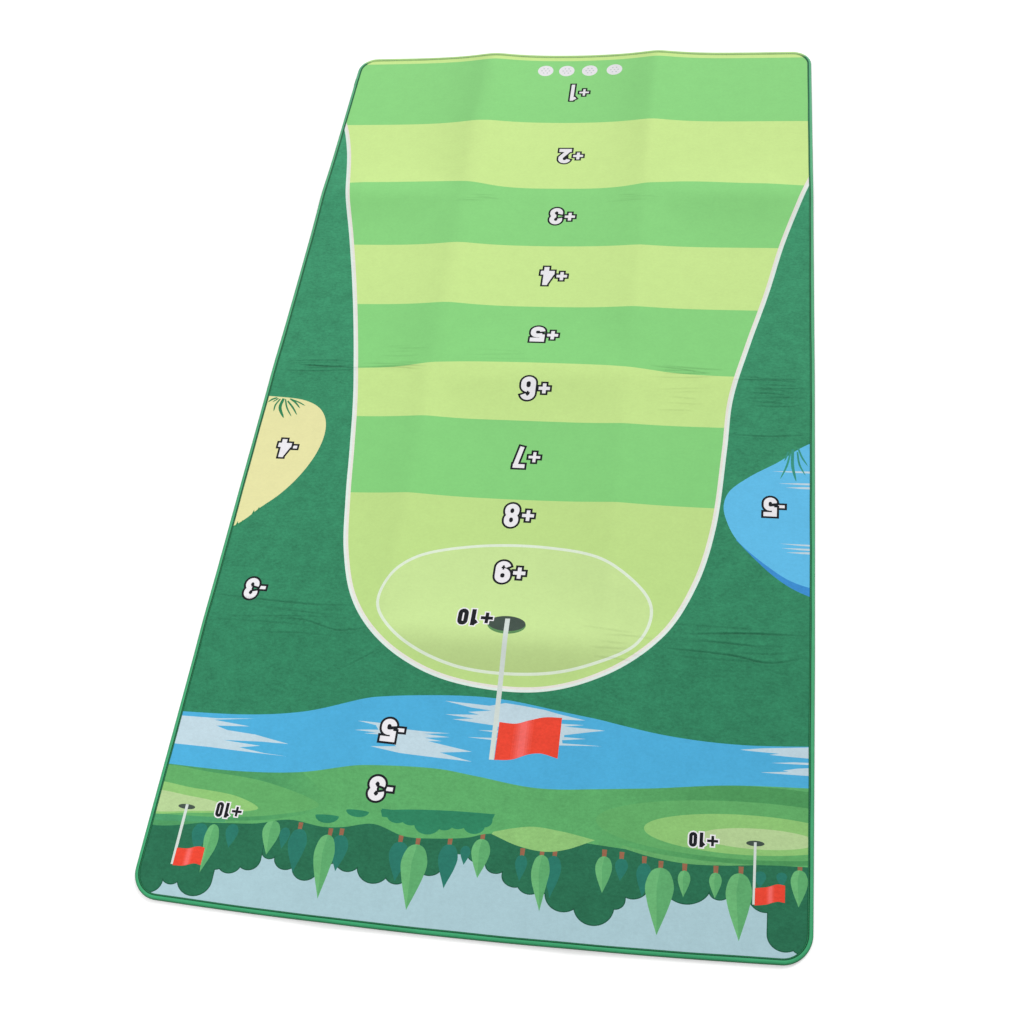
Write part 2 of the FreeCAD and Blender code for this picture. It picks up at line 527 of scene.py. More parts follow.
def leaf_blade(points, half_width):
    """A curved blade, widest in the middle and pointed at its tip."""
    line = smooth(points, step=4.0)
    left = []
    right = []
    for k, ((x, y), side) in enumerate(zip(line, offsets(line, 1.0))):
        share = k / (len(line) - 1)
        width = half_width * (0.55 + 0.9 * share) * (1 - share) ** 0.6 * 1.35
        away_x, away_y = (side[0] - x) * width, (side[1] - y) * width
        left.append((x + away_x, y + away_y))
        right.append((x - away_x, y - away_y))
    return left + right[-2::-1]


def paint_leaves(picture, ink, leaves):
    for points, half_width in leaves:
        picture.paint(ink, leaf_blade(points, half_width))


def paint_pond(picture):
    rim = smooth(POND_RIM, step=4.0)
    edge = smooth(POND_EDGE, step=4.0)
    picture.paint("pond_rim", rim + [(-299, 215), (-BEYOND, 200)])
    picture.paint("pond", edge)
    for numbers in POND_STREAKS:
        picture.paint("foam_streak", streak(*numbers))
    paint_leaves(picture, "reed", REEDS)


BUNKER_EDGE = ((BEYOND, 250), (379, 224), (362, 205), (337, 180), (315, 148), (299, 110), (294, 75),
               (299, 50), (312, 32), (336, 20), (379, 15), (BEYOND, 14))
BUNKER_GRASS = (
    (((359, 18), (349, 25), (340, 35)), 1.5),
    (((362, 22), (352, 33), (342, 47)), 1.5),
    (((369, 18), (371, 34), (361, 53)), 2.6),
    (((377, 18), (380, 21), (385, 25)), 1.1),
    (((357, 19), (344, 24), (333, 30)), 1.2),
    (((366, 19), (361, 33), (350, 50)), 1.3),
    (((374, 19), (379, 30), (379, 42)), 1.4),
    (((379, 17), (386, 20), (392, 26)), 1.6),
    (((383, 232), (381, 228), (380, 224)), 1.5),
    (((388, 236), (387, 231), (387, 226)), 1.5),
    (((363, 209), (362, 206), (362, 202)), 1.4),
    (((369, 215), (368, 211), (368, 207)), 1.4),
)


def paint_bunker(picture):
    picture.paint("sand", smooth(BUNKER_EDGE, step=4.0))
    paint_leaves(picture, "bunker_grass", BUNKER_GRASS)


TREELINE_DOMES = (
    # x, top, half width
    (-390, 735, 20), (-367, 732, 19), (-345, 694, 18), (-320, 676, 20), (-294, 684, 11), (-257, 691, 27),
    (-226, 676, 16), (-197, 690, 17), (-178, 702, 11), (-155, 720, 22), (-120, 709, 21), (-98, 692, 14),
    (-80, 694, 15), (-62, 688, 15), (-38, 674, 12), (-15, 663, 12), (22, 668, 12), (40, 684, 15),
    (58, 680, 14), (77, 697, 14), (105, 699, 19), (137, 690, 14), (162, 684, 14), (187, 704, 16),
    (213, 695, 14), (235, 685, 9), (259, 700, 14), (282, 706, 15), (300, 704, 14), (320, 735, 21),
    (350, 726, 12), (376, 738, 16), (398, 728, 14),
)
TREELINE_RIM = 1.2
FAR_TREES = (
    # tip x, tip y, left, right, lowest, trunk x or None
    (-362, 665, -368, -356, 648, None), (-338, 668, -345, -332, 648, None),
    (-208, 687, -217, -200, 648, -208), (-182, 671, -190, -175, 645, -182),
    (-104, 697, -114, -95, 648, -105), (-67, 681, -74, -60, 650, -67), (0, 668, -6, 6, 645, None),
    (19.5, 697, 8, 31, 645, 20), (78, 695, 67, 90, 648, 79), (150, 692, 140, 161, 648, 151),
    (202, 698, 192, 215, 645, 204), (222, 672, 215, 228, 645, None),
    (288, 678, 280, 296, 648, None), (327, 690, 318, 338, 652, None),
)
NEAR_TREES = (
    (-381, 687, -391, -372, 644, -382), (-317, 725, -330, -301, 652, -317),
    (-289, 683, -296, -282, 653, -289), (-254, 684, -261, -247, 653, -254),
    (-227, 725, -243, -211, 652, -227), (-163, 687, -172, -153, 644, -162),
    (-94, 711, -101, -80, 648, -90), (-18, 682, -29, -7, 635, -18), (59, 723, 43, 74, 649, 58),
    (165, 722, 155, 180, 649, 165), (239, 681, 228, 250, 638, None), (316, 710, 303, 321, 651, None),
)


def tree_outline(tip_x, tip_y, left, right, lowest):
    """A leaf-shaped crown: round below, drawn out to a point on top."""
    middle = (left + right) / 2
    height = tip_y - lowest

    def side(edge):
        return [(edge + 0.16 * (middle - edge), lowest + 0.52 * height), (edge, lowest + 0.28 * height),
                (edge + 0.42 * (middle - edge), lowest + 0.05 * height)]

    tip = (tip_x, tip_y)
    return smooth([tip, *side(left), (middle, lowest), *side(right)[::-1], tip], step=3.0)[:-1]


def paint_tree(picture, ink, tip_x, tip_y, left, right, lowest, trunk):
    if trunk is not None:
        picture.paint("trunk", [(trunk - 2.8, lowest - 8), (trunk + 2.8, lowest - 8),
                                (trunk + 2.2, lowest + 6), (trunk - 2.2, lowest + 6)])
    crown = tree_outline(tip_x, tip_y, left, right, lowest)
    picture.paint(ink, crown)
    if ink == "tree":
        bend = ((left + right) / 2 + 0.10 * (right - left), lowest + 0.3 * (tip_y - lowest))
        picture.paint("tree_shade", crown[:len(crown) // 2 + 1] + [bend])


def paint_trees(picture):
    for ink, trees in (("tree_far", FAR_TREES), ("tree", NEAR_TREES)):
        for tree in trees:
            paint_tree(picture, ink, *tree)


def paint_treeline(picture):
    picture.paint("sky", box(-BEYOND, 612, BEYOND, 760))
    for grow, ink in ((TREELINE_RIM, "treeline_rim"), (0.0, "treeline")):
        for x, top, half_width in TREELINE_DOMES:
            radius = half_width + grow
            dome = arc(x, top + grow - 0.85 * radius, radius, 0.85 * radius, 0, 180)
            picture.paint(ink, dome + [(x - radius, 600), (x + radius, 600)])
    picture.paint("treeline", box(-BEYOND, 600, BEYOND, 656))


GROUND = ((-BEYOND, 640), (-345, 640), (-255, 640), (-180, 633), (-25, 628), (0, 635), (40, 640),
          (75, 641), (115, 630), (150, 638), (175, 640), (220, 635), (260, 644), (300, 648),
          (BEYOND, 658))


def paint_ground(picture):
    """The strip of ground between the river and the wood, with its two small greens."""
    lower = smooth(RIVER_BOTTOM, step=6.0)
    picture.paint("ground", smooth(GROUND) + lower[::-1])
    picture.paint_smooth("ground_light",
                         ((-345, 640), (-300, 644), (-255, 645), (-215, 640), (-180, 632)),
                         ((-182, 629), (-255, 638), (-345, 637)))
    picture.paint_smooth("mound", ((-150, 626), (-120, 639), (-95, 644), (-62, 640), (-28, 628)),
                         ((-30, 625), (-52, 619), (-77, 615), (-115, 619)), step=4.0)
    paint_left_green(picture)
    paint_right_green(picture)


LEFT_GREEN = (
    # ink, middle x and y, half length, half width
    ("ground_shade_left", -318, 594, 205, 47), ("green_outer", -320, 601, 171, 34.5),
    ("green_middle", -320, 606, 115, 24), ("green_inner", -335, 610, 65, 12.5),
)
RIGHT_GREEN = (
    ("ground_shade", (176, 612), (230, 634), (300, 645), (BEYOND, 655), (BEYOND, 520), (330, 536),
     (240, 560)),
    ("green_outer", (186, 614), (240, 631), (300, 640), (BEYOND, 650), (BEYOND, 588), (330, 585),
     (250, 592)),
    ("green_middle", (262, 625), (300, 634), (345, 640), (BEYOND, 644), (BEYOND, 608), (350, 608),
     (290, 613)),
    ("green_inner", (300, 630), (340, 637), (BEYOND, 641), (BEYOND, 619), (350, 619), (315, 623)),
)


def paint_left_green(picture):
    for ink, *ellipse in LEFT_GREEN:
        picture.paint(ink, [(max(x, -BEYOND), y) for x, y in arc(*ellipse, step=5.0)])


def paint_right_green(picture):
    for ink, *points in RIGHT_GREEN:
        picture.paint_smooth(ink, points, closed=True)
    picture.paint_smooth("ground_top", ((300, 647), (340, 651), (BEYOND, 657)),
                         ((BEYOND, 648), (345, 644), (300, 641)))


BUSH_DOMES = ((-17, 621, 10), (-6, 630, 13), (14, 626, 13), (30, 629, 12), (50, 636, 16), (71, 627, 13),
              (88, 626, 13), (99, 620, 9))
SMALL_BUSHES = ((136.5, 616.5, 14, 7.5), (173, 626, 15, 9.0))
SMALL_BUSH_SAG = 1.5


def paint_bushes(picture):
    """One long bush whose straight side faces the river, and two small round-topped ones."""
    for x, top, half_width in BUSH_DOMES:
        picture.paint("bush", arc(x, top - 0.8 * half_width, half_width, 0.8 * half_width, 0, 180)
                      + [(x - half_width, 610), (x + half_width, 610)])
    picture.paint("bush", smooth(((-29, 603.5), (20, 604), (70, 607), (109, 612)), step=5.0)
                  + [(106, 620), (-24, 618)])
    for x, y, half_width, height in SMALL_BUSHES:
        upper = arc(x, y, half_width, height, 0, 180)
        picture.paint("bush", upper + arc(x, y, half_width, SMALL_BUSH_SAG, 180, 360))


def paint_hole(picture, x, y, radius_x, radius_y):
    picture.paint("hole", arc(x, y, radius_x, radius_y))


def paint_pole(picture, foot, top, half_width):
    picture.paint_all("pole", stroke([foot, top], half_width))


FLAG_BANDS = (("flag_glow", 1.5), ("flag_soft", 1.15), ("flag_warm", 0.85), ("flag_sheen", 0.5))
FLAG_BAND_INSET = 0.4


def paint_flag(picture, upper, lower, sheen):
    """upper and lower are edges from the tail to the pole; sheen is the x range of the lit fold."""
    top = smooth(upper, step=3.0)
    bottom = smooth(lower, step=3.0)
    picture.paint("flag", top + bottom[::-1])
    middle = (sheen[0] + sheen[1]) / 2
    for ink, widening in FLAG_BANDS:
        reach = (sheen[1] - sheen[0]) / 2 * widening
        xs = np.linspace(middle - reach, middle + reach, 7)
        band = [(x, float(np.interp(x, *zip(*top))) - FLAG_BAND_INSET) for x in xs]
        band += [(x, float(np.interp(x, *zip(*bottom))) + FLAG_BAND_INSET) for x in xs[::-1]]
        picture.paint(ink, band)


def paint_big_flag(picture):
    picture.paint("hole_far_side", arc(-12, 359.5, 25, 13))
    paint_hole(picture, -12, 357.5, 24.4, 11.2)
    paint_pole(picture, (-12.2, 350), (-15.5, 537), 3.1)
    paint_flag(picture, ((-96, 530), (-75, 525), (-60, 527), (-40, 535), (-19, 537)),
               ((-96, 478), (-75, 478.5), (-55, 484), (-40, 489), (-19, 488.5)), (-58, -42))


def paint_small_flags(picture):
    paint_hole(picture, -332, 615.5, 10.3, 3.4)
    paint_pole(picture, (-332, 614), (-332, 687), 1.5)
    paint_flag(picture, ((-366, 683), (-358, 682), (-346, 686), (-333, 688)),
               ((-366, 663), (-358, 662), (-346, 666), (-333, 668)), (-353, -347))
    paint_hole(picture, 353, 633, 11, 3.3)
    paint_pole(picture, (353, 630), (353, 705), 1.8)
    paint_flag(picture, ((317, 702), (326, 701), (338, 705), (352, 706)),
               ((317, 681.5), (326, 681), (338, 685), (352, 686)), (332, 339))


# ---------------------------------------------------------------- numbers

# Which lines of a digit close on themselves: the digit and the line's number.
CLOSED_LINES = (("0", 0), ("6", 1), ("8", 0), ("8", 1), ("9", 0))


def digit_lines(digit, width, height, weight):
    """Centre lines of a plain heavy digit in a box from 0, 0 to width, height: (points, closed)."""
    middle = 0.5 * height
    half = weight / 2
    r = min(width / 2, 0.25 * height)

    def turn(y, start, end):
        return arc(width / 2, y, width / 2, r, start, end, step=2.0)

    lines = {
        "0": [turn(height - r, 0, 180) + turn(r, 180, 360)],
        "1": [[(0.62 * width, -half), (0.62 * width, height + half)],
              [(0.50 * width, height - 0.1 * weight), (-0.05 * width, height - 0.75 * weight)]],
        "2": [turn(height - r, 170, 0) + [(width, 0.62 * height), (0.08 * width, 0.1 * half)],
              [(-half, 0), (width + half, 0)]],
        "3": [turn(height - r, 203, 0) + turn(middle + r, 0, -90),
              turn(middle - r, 90, 0) + turn(r, 0, -203)],
        "4": [[(0.66 * width, -half), (0.66 * width, height + half)],
              [(0.62 * width, height), (0.0, 0.30 * height)],
              [(-half, 0.27 * height), (width + half, 0.27 * height)]],
        "5": [[(width + half, height), (-half, height)], [(0, height), (0, 0.52 * height)],
              [(0, 0.58 * height)] + turn(0.62 * height - r, 100, 0) + turn(r, 0, -180)],
        "6": [turn(height - r, 15, 180) + turn(r, 180, 360),
              turn(0.58 * height - r, 0, 180) + turn(r, 180, 360)],
        "7": [[(-half, height), (width + half, height)], [(width, height), (0.34 * width, -half)]],
        "8": [turn(height - r, 0, 180) + turn(middle + r, 180, 360),
              turn(middle - r, 0, 180) + turn(r, 180, 360)],
        "9": [turn(height - r, 0, 180) + turn(0.42 * height + r, 180, 360),
              turn(height - r, 180, 0) + turn(r, 360, 195)],
    }
    return [(points, (digit, number) in CLOSED_LINES) for number, points in enumerate(lines[digit])]


# The narrow counters of a heavy digit: their middle heights as shares of its height.
COUNTERS = {"3": (0.26, 0.74), "5": (0.31,), "6": (0.29, 0.77), "8": (0.25, 0.75), "9": (0.23, 0.71)}
COUNTER_REACH = 0.13
COUNTER_HALF_WIDTH = 1.25
NUMBERS = (
    # digits, left, right, top, bottom, sign, sign x, sign y, sign width
    ("9", -8, 16, 300, 265, "+", -18, 283, 21), ("8", -8, 15, 217, 178, "+", -19, 197, 21),
    ("7", -6, 14, 124, 86, "+", -16.5, 104, 21), ("6", -7, 18, 12, -30, "+", -18, -9.5, 21),
    ("5", -9, 16, -94, -127, "+", -19, -109, 21), ("4", -10, 15, -207, -247, "+", -20, -227, 21),
    ("3", -10, 14, -333, -371, "+", -20, -351, 21), ("2", -10, 14, -471, -509, "+", -20, -490, 21),
    ("1", -6, 13, -626, -670, "+", -15.5, -648, 21),
    ("3", 107, 130, 603, 569, "-", 103, 585, 13), ("5", 106, 128, 528, 495, "-", 102, 510, 13),
    ("3", 331, 353, 344, 310, "-", 327, 325, 13), ("4", 337, 360, 121, 87, "-", 333.5, 101.5, 12),
    ("5", -349.5, -329, 183, 151, "-", -353.5, 166, 13),
)
TENS = (
    # left, right, top, bottom, plus x, plus y, plus width
    (23.5, 52.5, 365, 337.5, 15, 351, 18), (-278, -258, 626, 605, -284, 616, 14.5),
    (294.5, 314, 643, 620.5, 288, 632, 14.5),
)
ONE_DIGIT_WEIGHT = 0.31
TWO_DIGIT_WEIGHT = 0.40
SIGN_WEIGHT = 0.68
TEN_SIGN_WEIGHT = 0.8
NUMBER_RIM = 2.9
TEN_RIM = 1.6
NUMBER_OVERSHOOT = 1.2


def number_strokes(digits, left, right, top, bottom, rim, overshoot):
    """Each digit's centre lines in place, the weight of their stroke, and the lines of its counters."""
    lines = []
    slots = []
    single = len(digits) == 1
    advance = (right - left) / len(digits)
    weight = (ONE_DIGIT_WEIGHT if single else TWO_DIGIT_WEIGHT) * advance
    inset = rim + weight / 2 - overshoot
    height = top - bottom - 2 * inset
    width = advance - 2 * inset + (0 if single else 1.5 * rim)
    for index, digit in enumerate(digits):
        x = left + advance * index + inset
        for points, closed in digit_lines(digit, width, height, weight):
            lines.append(([(x + px, bottom + inset + py) for px, py in points], closed))
        for share in COUNTERS.get(digit, ()):
            middle = bottom + inset + share * height
            reach = COUNTER_REACH * height
            slots.append([(x + width / 2, middle - reach), (x + width / 2, middle + reach)])
    return lines, weight, slots


def sign_lines(sign, x, y, width, rim):
    reach = width / 2 - rim + 0.5 * NUMBER_OVERSHOOT
    lines = [([(x - reach, y), (x + reach, y)], False)]
    if sign == "+":
        lines.append(([(x, y - reach), (x, y + reach)], False))
    return lines


def paint_lines(picture, lines, weight, rim, rim_ink, fill_ink):
    for points, closed in lines:
        if len(points) > 3:
            picture.paint(rim_ink, points)
        picture.paint_all(rim_ink, stroke(points, weight / 2 + rim, closed, extend=rim))
    for points, closed in lines:
        picture.paint_all(fill_ink, stroke(points, weight / 2, closed))


def paint_numbers(picture):
    for digits, left, right, top, bottom, sign, *sign_place in NUMBERS:
        edges = (left, right, top, bottom)
        lines, weight, slots = number_strokes(digits, *edges, NUMBER_RIM, NUMBER_OVERSHOOT)
        signs = sign_lines(sign, *sign_place, NUMBER_RIM)
        paint_lines(picture, signs, SIGN_WEIGHT * weight, NUMBER_RIM, "black", "white")
        paint_lines(picture, lines, weight, NUMBER_RIM, "black", "white")
        for slot in slots:
            picture.paint_all("black", stroke(slot, COUNTER_HALF_WIDTH))
    for left, right, top, bottom, *sign_place in TENS:
        lines, weight, _ = number_strokes("10", left, right, top, bottom, TEN_RIM, 0.0)
        signs = sign_lines("+", *sign_place, TEN_RIM)
        paint_lines(picture, signs, TEN_SIGN_WEIGHT * weight, TEN_RIM, "white", "black")
        paint_lines(picture, lines, weight, TEN_RIM, "white", "black")


BALL_ROW = (-63, -20, 20, 57)
BALL_Y = -704.0
BALL_RADIUS = 13.5
DIMPLE_RING = 6.4
DIMPLE_RADIUS = 1.5


def paint_balls(picture):
    """Four plain golf balls in a row behind the tee line."""
    for x in BALL_ROW:
        picture.paint("white", arc(x, BALL_Y, BALL_RADIUS, BALL_RADIUS))
        for place in [(x, BALL_Y)] + arc(x, BALL_Y, DIMPLE_RING, DIMPLE_RING, step=6.8):
            picture.paint("ball_dimple", arc(*place, DIMPLE_RADIUS, DIMPLE_RADIUS, step=1.2))


def printed_picture():
    picture = Print()
    paint_stripes(picture)
    paint_oval(picture)
    paint_rough(picture)
    paint_treeline(picture)
    paint_trees(picture)
    paint_ground(picture)
    paint_bushes(picture)
    paint_river(picture)
    paint_pond(picture)
    paint_bunker(picture)
    paint_big_flag(picture)
    paint_small_flags(picture)
    paint_numbers(picture)
    paint_balls(picture)
    return picture


# ---------------------------------------------------------------- materials

# Each ink as printed: its sRGB colour and how strongly it mottles.
INKS = {
    "stripe_light": ((186, 217, 134), 0.16),
    "stripe_dark": ((123, 198, 116), 0.16),
    "green_ring": ((188, 219, 136), 0.16),
    "green_centre": ((178, 203, 131), 0.16),
    "oval_line": ((219, 232, 210), 0.2),
    "rough": ((44, 121, 87), 1.0),
    "line_cool": ((222, 235, 228), 0.2),
    "line_warm": ((230, 226, 218), 0.2),
    "river": ((76, 170, 214), 0.3),
    "foam_streak": ((186, 209, 219), 0.3),
    "pond": ((96, 186, 230), 0.25),
    "pond_rim": ((60, 140, 207), 0.4),
    "reed": ((58, 146, 130), 0.6),
    "sand": ((226, 222, 162), 0.15),
    "bunker_grass": ((44, 128, 84), 0.4),
    "sky": ((168, 199, 207), 0.25),
    "treeline": ((40, 108, 78), 0.8),
    "treeline_rim": ((30, 88, 64), 0.6),
    "tree_far": ((40, 118, 102), 0.5),
    "tree": ((105, 178, 115), 0.5),
    "tree_shade": ((93, 167, 107), 0.5),
    "trunk": ((150, 100, 75), 0.5),
    "ground": ((92, 168, 102), 0.6),
    "ground_light": ((99, 168, 102), 0.6),
    "ground_shade_left": ((76, 148, 88), 0.6),
    "ground_shade": ((76, 150, 94), 0.6),
    "ground_top": ((75, 152, 103), 0.6),
    "mound": ((142, 193, 117), 0.5),
    "green_outer": ((96, 168, 100), 0.5),
    "green_middle": ((140, 193, 114), 0.4),
    "green_inner": ((178, 205, 147), 0.4),
    "bush": ((45, 128, 93), 0.6),
    "flag": ((230, 70, 50), 0.5),
    "flag_glow": ((232, 77, 60), 0.5),
    "flag_soft": ((234, 84, 71), 0.4),
    "flag_warm": ((237, 94, 84), 0.4),
    "flag_sheen": ((240, 104, 98), 0.4),
    "pole": ((205, 215, 209), 0.2),
    "hole": ((66, 80, 72), 0.5),
    "hole_far_side": ((92, 140, 88), 0.5),
    "black": ((26, 28, 33), 0.4),
    "white": ((233, 231, 235), 0.2),
    "ball_dimple": ((196, 202, 204), 0.2),
}
# Inks that turn into a second colour: that colour, then the axis (0 across, 1 along) and the two
# places on it where the first colour ends and the second begins. The turns along the whole mat are
# painted light: they make most inks lighter toward the tee end, where the light and the sheen are
# brighter. The turn of green_centre is painted shade, darker on the slope of the fold at y 384 that
# faces the flag end. The turns of the ground shades across the mat are print.
ALONG = (1, 750, -750)
TURNING_INKS = {
    "stripe_light": ((206, 236, 149), *ALONG),
    "stripe_dark": ((143, 216, 132), *ALONG),
    "green_centre": ((196, 223, 149), 1, 440, 370),
    "rough": ((66, 155, 113), *ALONG),
    "foam_streak": ((200, 216, 226), *ALONG),
    "pond": ((99, 188, 229), *ALONG),
    "reed": ((58, 146, 120), *ALONG),
    "sand": ((228, 225, 167), *ALONG),
    "ground_shade_left": ((92, 168, 102), 0, -300, -150),
    "ground_shade": ((92, 168, 102), 0, 262, 175),
}
INK_ORDER = tuple(INKS)


def linear(colour):
    """sRGB from 0 to 255 to the scene's linear colour."""
    values = []
    for channel in colour:
        c = channel / 255
        values.append(c / 12.92 if c <= 0.04045 else ((c + 0.055) / 1.055) ** 2.4)
    return (*values, 1.0)


class Nodes:
    """A short way to add and join a material's nodes."""

    def __init__(self, tree):
        self.tree = tree

    def add(self, kind, **settings):
        node = self.tree.nodes.new(kind)
        for name, value in settings.items():
            setattr(node, name, value)
        return node

    def put(self, socket, value):
        if isinstance(value, bpy.types.NodeSocket):
            self.tree.links.new(value, socket)
        else:
            socket.default_value = value

    def attribute(self, name, output="Vector"):
        return self.add("ShaderNodeAttribute", attribute_name=name).outputs[output]

    def rest(self):
        """The point's place on the flat mat, in millimetres, kept as a mesh attribute."""
        return self.attribute("flat_mm")

    def split(self, vector):
        node = self.add("ShaderNodeSeparateXYZ")
        self.put(node.inputs[0], vector)
        return node.outputs

    def mapped(self, vector, scale):
        """A vector stretched by one factor, or by one for each axis."""
        node = self.add("ShaderNodeMapping")
        self.put(node.inputs["Vector"], vector)
        node.inputs["Scale"].default_value = scale if isinstance(scale, tuple) else (scale,) * 3
        return node.outputs["Vector"]

    def noise(self, vector, scale, detail=3.0, roughness=0.55):
        node = self.add("ShaderNodeTexNoise")
        self.put(node.inputs["Vector"], self.mapped(vector, scale))
        node.inputs["Scale"].default_value = 1.0
        node.inputs["Detail"].default_value = detail
        node.inputs["Roughness"].default_value = roughness
        return node.outputs["Fac"]

    def cells(self, vector, scale):
        """How far a point is from the middle of its cell."""
        node = self.add("ShaderNodeTexVoronoi")
        self.put(node.inputs["Vector"], self.mapped(vector, scale))
        node.inputs["Scale"].default_value = 1.0
        return node.outputs["Distance"]

    def math(self, operation, a, b=0.0, c=0.0):
        node = self.add("ShaderNodeMath", operation=operation)
        for socket, value in zip(node.inputs, (a, b, c)):
            self.put(socket, value)
        return node.outputs[0]

    def total(self, *values):
        result = values[0]
        for value in values[1:]:
            result = self.math("ADD", result, value)
        return result

    def times(self, a, b):
        return self.math("MULTIPLY", a, b)

    def wave(self, value, length):
        return self.math("SINE", self.times(value, math.tau / length))

    def ranged(self, value, low, high, to_low=0.0, to_high=1.0):
        """A value that runs from low to high, made to run from to_low to to_high and held there."""
        node = self.add("ShaderNodeMapRange")
        for name, number in (("Value", value), ("From Min", low), ("From Max", high),
                             ("To Min", to_low), ("To Max", to_high)):
            self.put(node.inputs[name], number)
        return node.outputs["Result"]

    def speckle(self, noise, low, high):
        """Noise spread over its usual range, made to run from low to high."""
        return self.ranged(noise, 0.3, 0.7, low, high)

    def mix(self, share, a, b):
        node = self.add("ShaderNodeMix", data_type="RGBA")
        self.put(node.inputs[0], share)
        self.put(node.inputs[6], a)
        self.put(node.inputs[7], b)
        return node.outputs[2]

    def scaled(self, colour, factor):
        """A colour made lighter or darker by a factor."""
        node = self.add("ShaderNodeVectorMath", operation="SCALE")
        self.put(node.inputs[0], colour[:3] if isinstance(colour, tuple) else colour)
        self.put(node.inputs["Scale"], factor)
        return node.outputs[0]

    def bump(self, height, strength, distance):
        node = self.add("ShaderNodeBump")
        self.put(node.inputs["Height"], height)
        node.inputs["Strength"].default_value = strength
        node.inputs["Distance"].default_value = distance
        return node.outputs["Normal"]


class Material(Nodes):
    """A material whose surface is given as a colour, a roughness and a relief."""

    def __init__(self, name, roughness, sheen=0.0, specular=0.5):
        self.data = bpy.data.materials.new(name)
        self.data.use_nodes = True
        super().__init__(self.data.node_tree)
        self.inputs = self.tree.nodes["Principled BSDF"].inputs
        self.put(self.inputs["Roughness"], roughness)
        self.put(self.inputs["Sheen Weight"], sheen)
        self.put(self.inputs["Specular IOR Level"], specular)

    def colour(self, colour, factor):
        self.put(self.inputs["Base Color"], self.scaled(colour, factor))

    def relief(self, height, strength, distance):
        self.put(self.inputs["Normal"], self.bump(height, strength, distance))


# The noises of the brushed pile, from clouds to single fibres: scale per millimetre along each axis,
# detail, roughness, and how strongly it shades the ink.
PILE_NOISES = (
    ((0.045, 0.050, 0.05), 4.0, 0.6, 0.50),
    ((0.22, 0.34, 0.3), 3.0, 0.7, 0.80),
    ((1.1, 1.9, 1.5), 3.0, 0.6, 0.60),
)
# How strongly painted shade darkens the grooves of the fine creases.
GROOVE_PAINTED_SHADE = 0.9


def brushed_pile_group():
    """Shade and height of a short brushed pile, shared by every ink."""
    group = bpy.data.node_groups.new("brushed_pile", "ShaderNodeTree")
    group.interface.new_socket("Shade", in_out="OUTPUT", socket_type="NodeSocketFloat")
    group.interface.new_socket("Height", in_out="OUTPUT", socket_type="NodeSocketFloat")
    nodes = Nodes(group)
    place = nodes.rest()
    shade = 0.0
    noises = []
    for scale, detail, roughness, strength in PILE_NOISES:
        noises.append(nodes.noise(place, scale, detail, roughness))
        shade = nodes.math("MULTIPLY_ADD", nodes.math("SUBTRACT", noises[-1], 0.5), strength, shade)
    _, flecks, fibres = noises
    ends = nodes.add("NodeGroupOutput")
    nodes.put(ends.inputs["Shade"], shade)
    nodes.put(ends.inputs["Height"], nodes.math("MULTIPLY_ADD", flecks, 0.5, fibres))
    return group


def ink_material(name, group):
    """One ink on the brushed face: mottling, a soft sheen, painted shade in the grooves of fine creases,
    and for some a slight change across it, in part painted light and shade.
    """
    ink = Material("ink_" + name, 0.9, sheen=0.10, specular=0.12)
    ink.inputs["Sheen Roughness"].default_value = 0.45
    pile = ink.add("ShaderNodeGroup", node_tree=group)
    colour, mottle = INKS[name]
    colour = linear(colour)
    # For the turns along the mat and for green_centre's turn this is painted light and shade; for the
    # ground shades it is print.
    if name in TURNING_INKS:
        second, axis, first, last = TURNING_INKS[name]
        share = ink.ranged(ink.split(ink.rest())[axis], first, last)
        colour = ink.mix(share, colour, linear(second))
    factor = ink.math("MULTIPLY_ADD", pile.outputs["Shade"], mottle, 1.0)
    # Painted shade darkens the grooves of the fine creases.
    groove_shade = ink.times(ink.attribute("groove_shade", "Fac"), factor)
    ink.colour(colour, ink.math("MULTIPLY_ADD", groove_shade, -GROOVE_PAINTED_SHADE, factor))
    ink.put(ink.inputs["Roughness"], ink.ranged(pile.outputs["Height"], 0.4, 1.1, 0.92, 0.78))
    ink.relief(pile.outputs["Height"], 0.35, 0.0006)
    return ink.data


def face_reverse_material():
    """The knitted reverse of the printed face, seen nowhere unless the layers come apart."""
    knit = Material("face_reverse", 0.9)
    knit.colour(linear((214, 222, 206)), knit.speckle(knit.noise(knit.rest(), 0.9), 0.88, 1.08))
    return knit.data


def foam_material():
    """Open-cell foam: pale, with fine pores."""
    foam = Material("foam_cells", 0.95)
    pores = foam.cells(foam.rest(), 1.3)
    foam.colour(linear((232, 230, 220)), foam.ranged(pores, 0.0, 0.6, 0.72, 1.05))
    foam.relief(pores, 0.5, 0.0005)
    return foam.data


WALE = 1.7
COURSE = 1.5


def knit_material():
    """Plain knitted backing: rows of small loops, charcoal, with worn lighter patches."""
    cloth = Material("backing_knit", 0.88, sheen=0.15)
    x, y, _ = cloth.split(cloth.rest())
    wale = cloth.math("ABSOLUTE", cloth.wave(x, WALE))
    leaning = cloth.math("MULTIPLY_ADD", wale, 1.4, cloth.times(y, math.tau / COURSE))
    loops = cloth.math("SINE", leaning)
    knit = cloth.math("MULTIPLY_ADD", wale, 0.6, cloth.times(loops, 0.4))
    worn = cloth.ranged(cloth.noise(cloth.rest(), 0.02, 4.0), 0.35, 0.65, -0.12, 0.16)
    fuzz = cloth.speckle(cloth.noise(cloth.rest(), 0.8), -0.08, 0.08)
    cloth.colour(linear((72, 76, 76)), cloth.total(cloth.ranged(knit, -0.2, 1.0, 0.72, 1.12), worn, fuzz))
    cloth.relief(knit, 0.5, 0.0005)
    return cloth.data


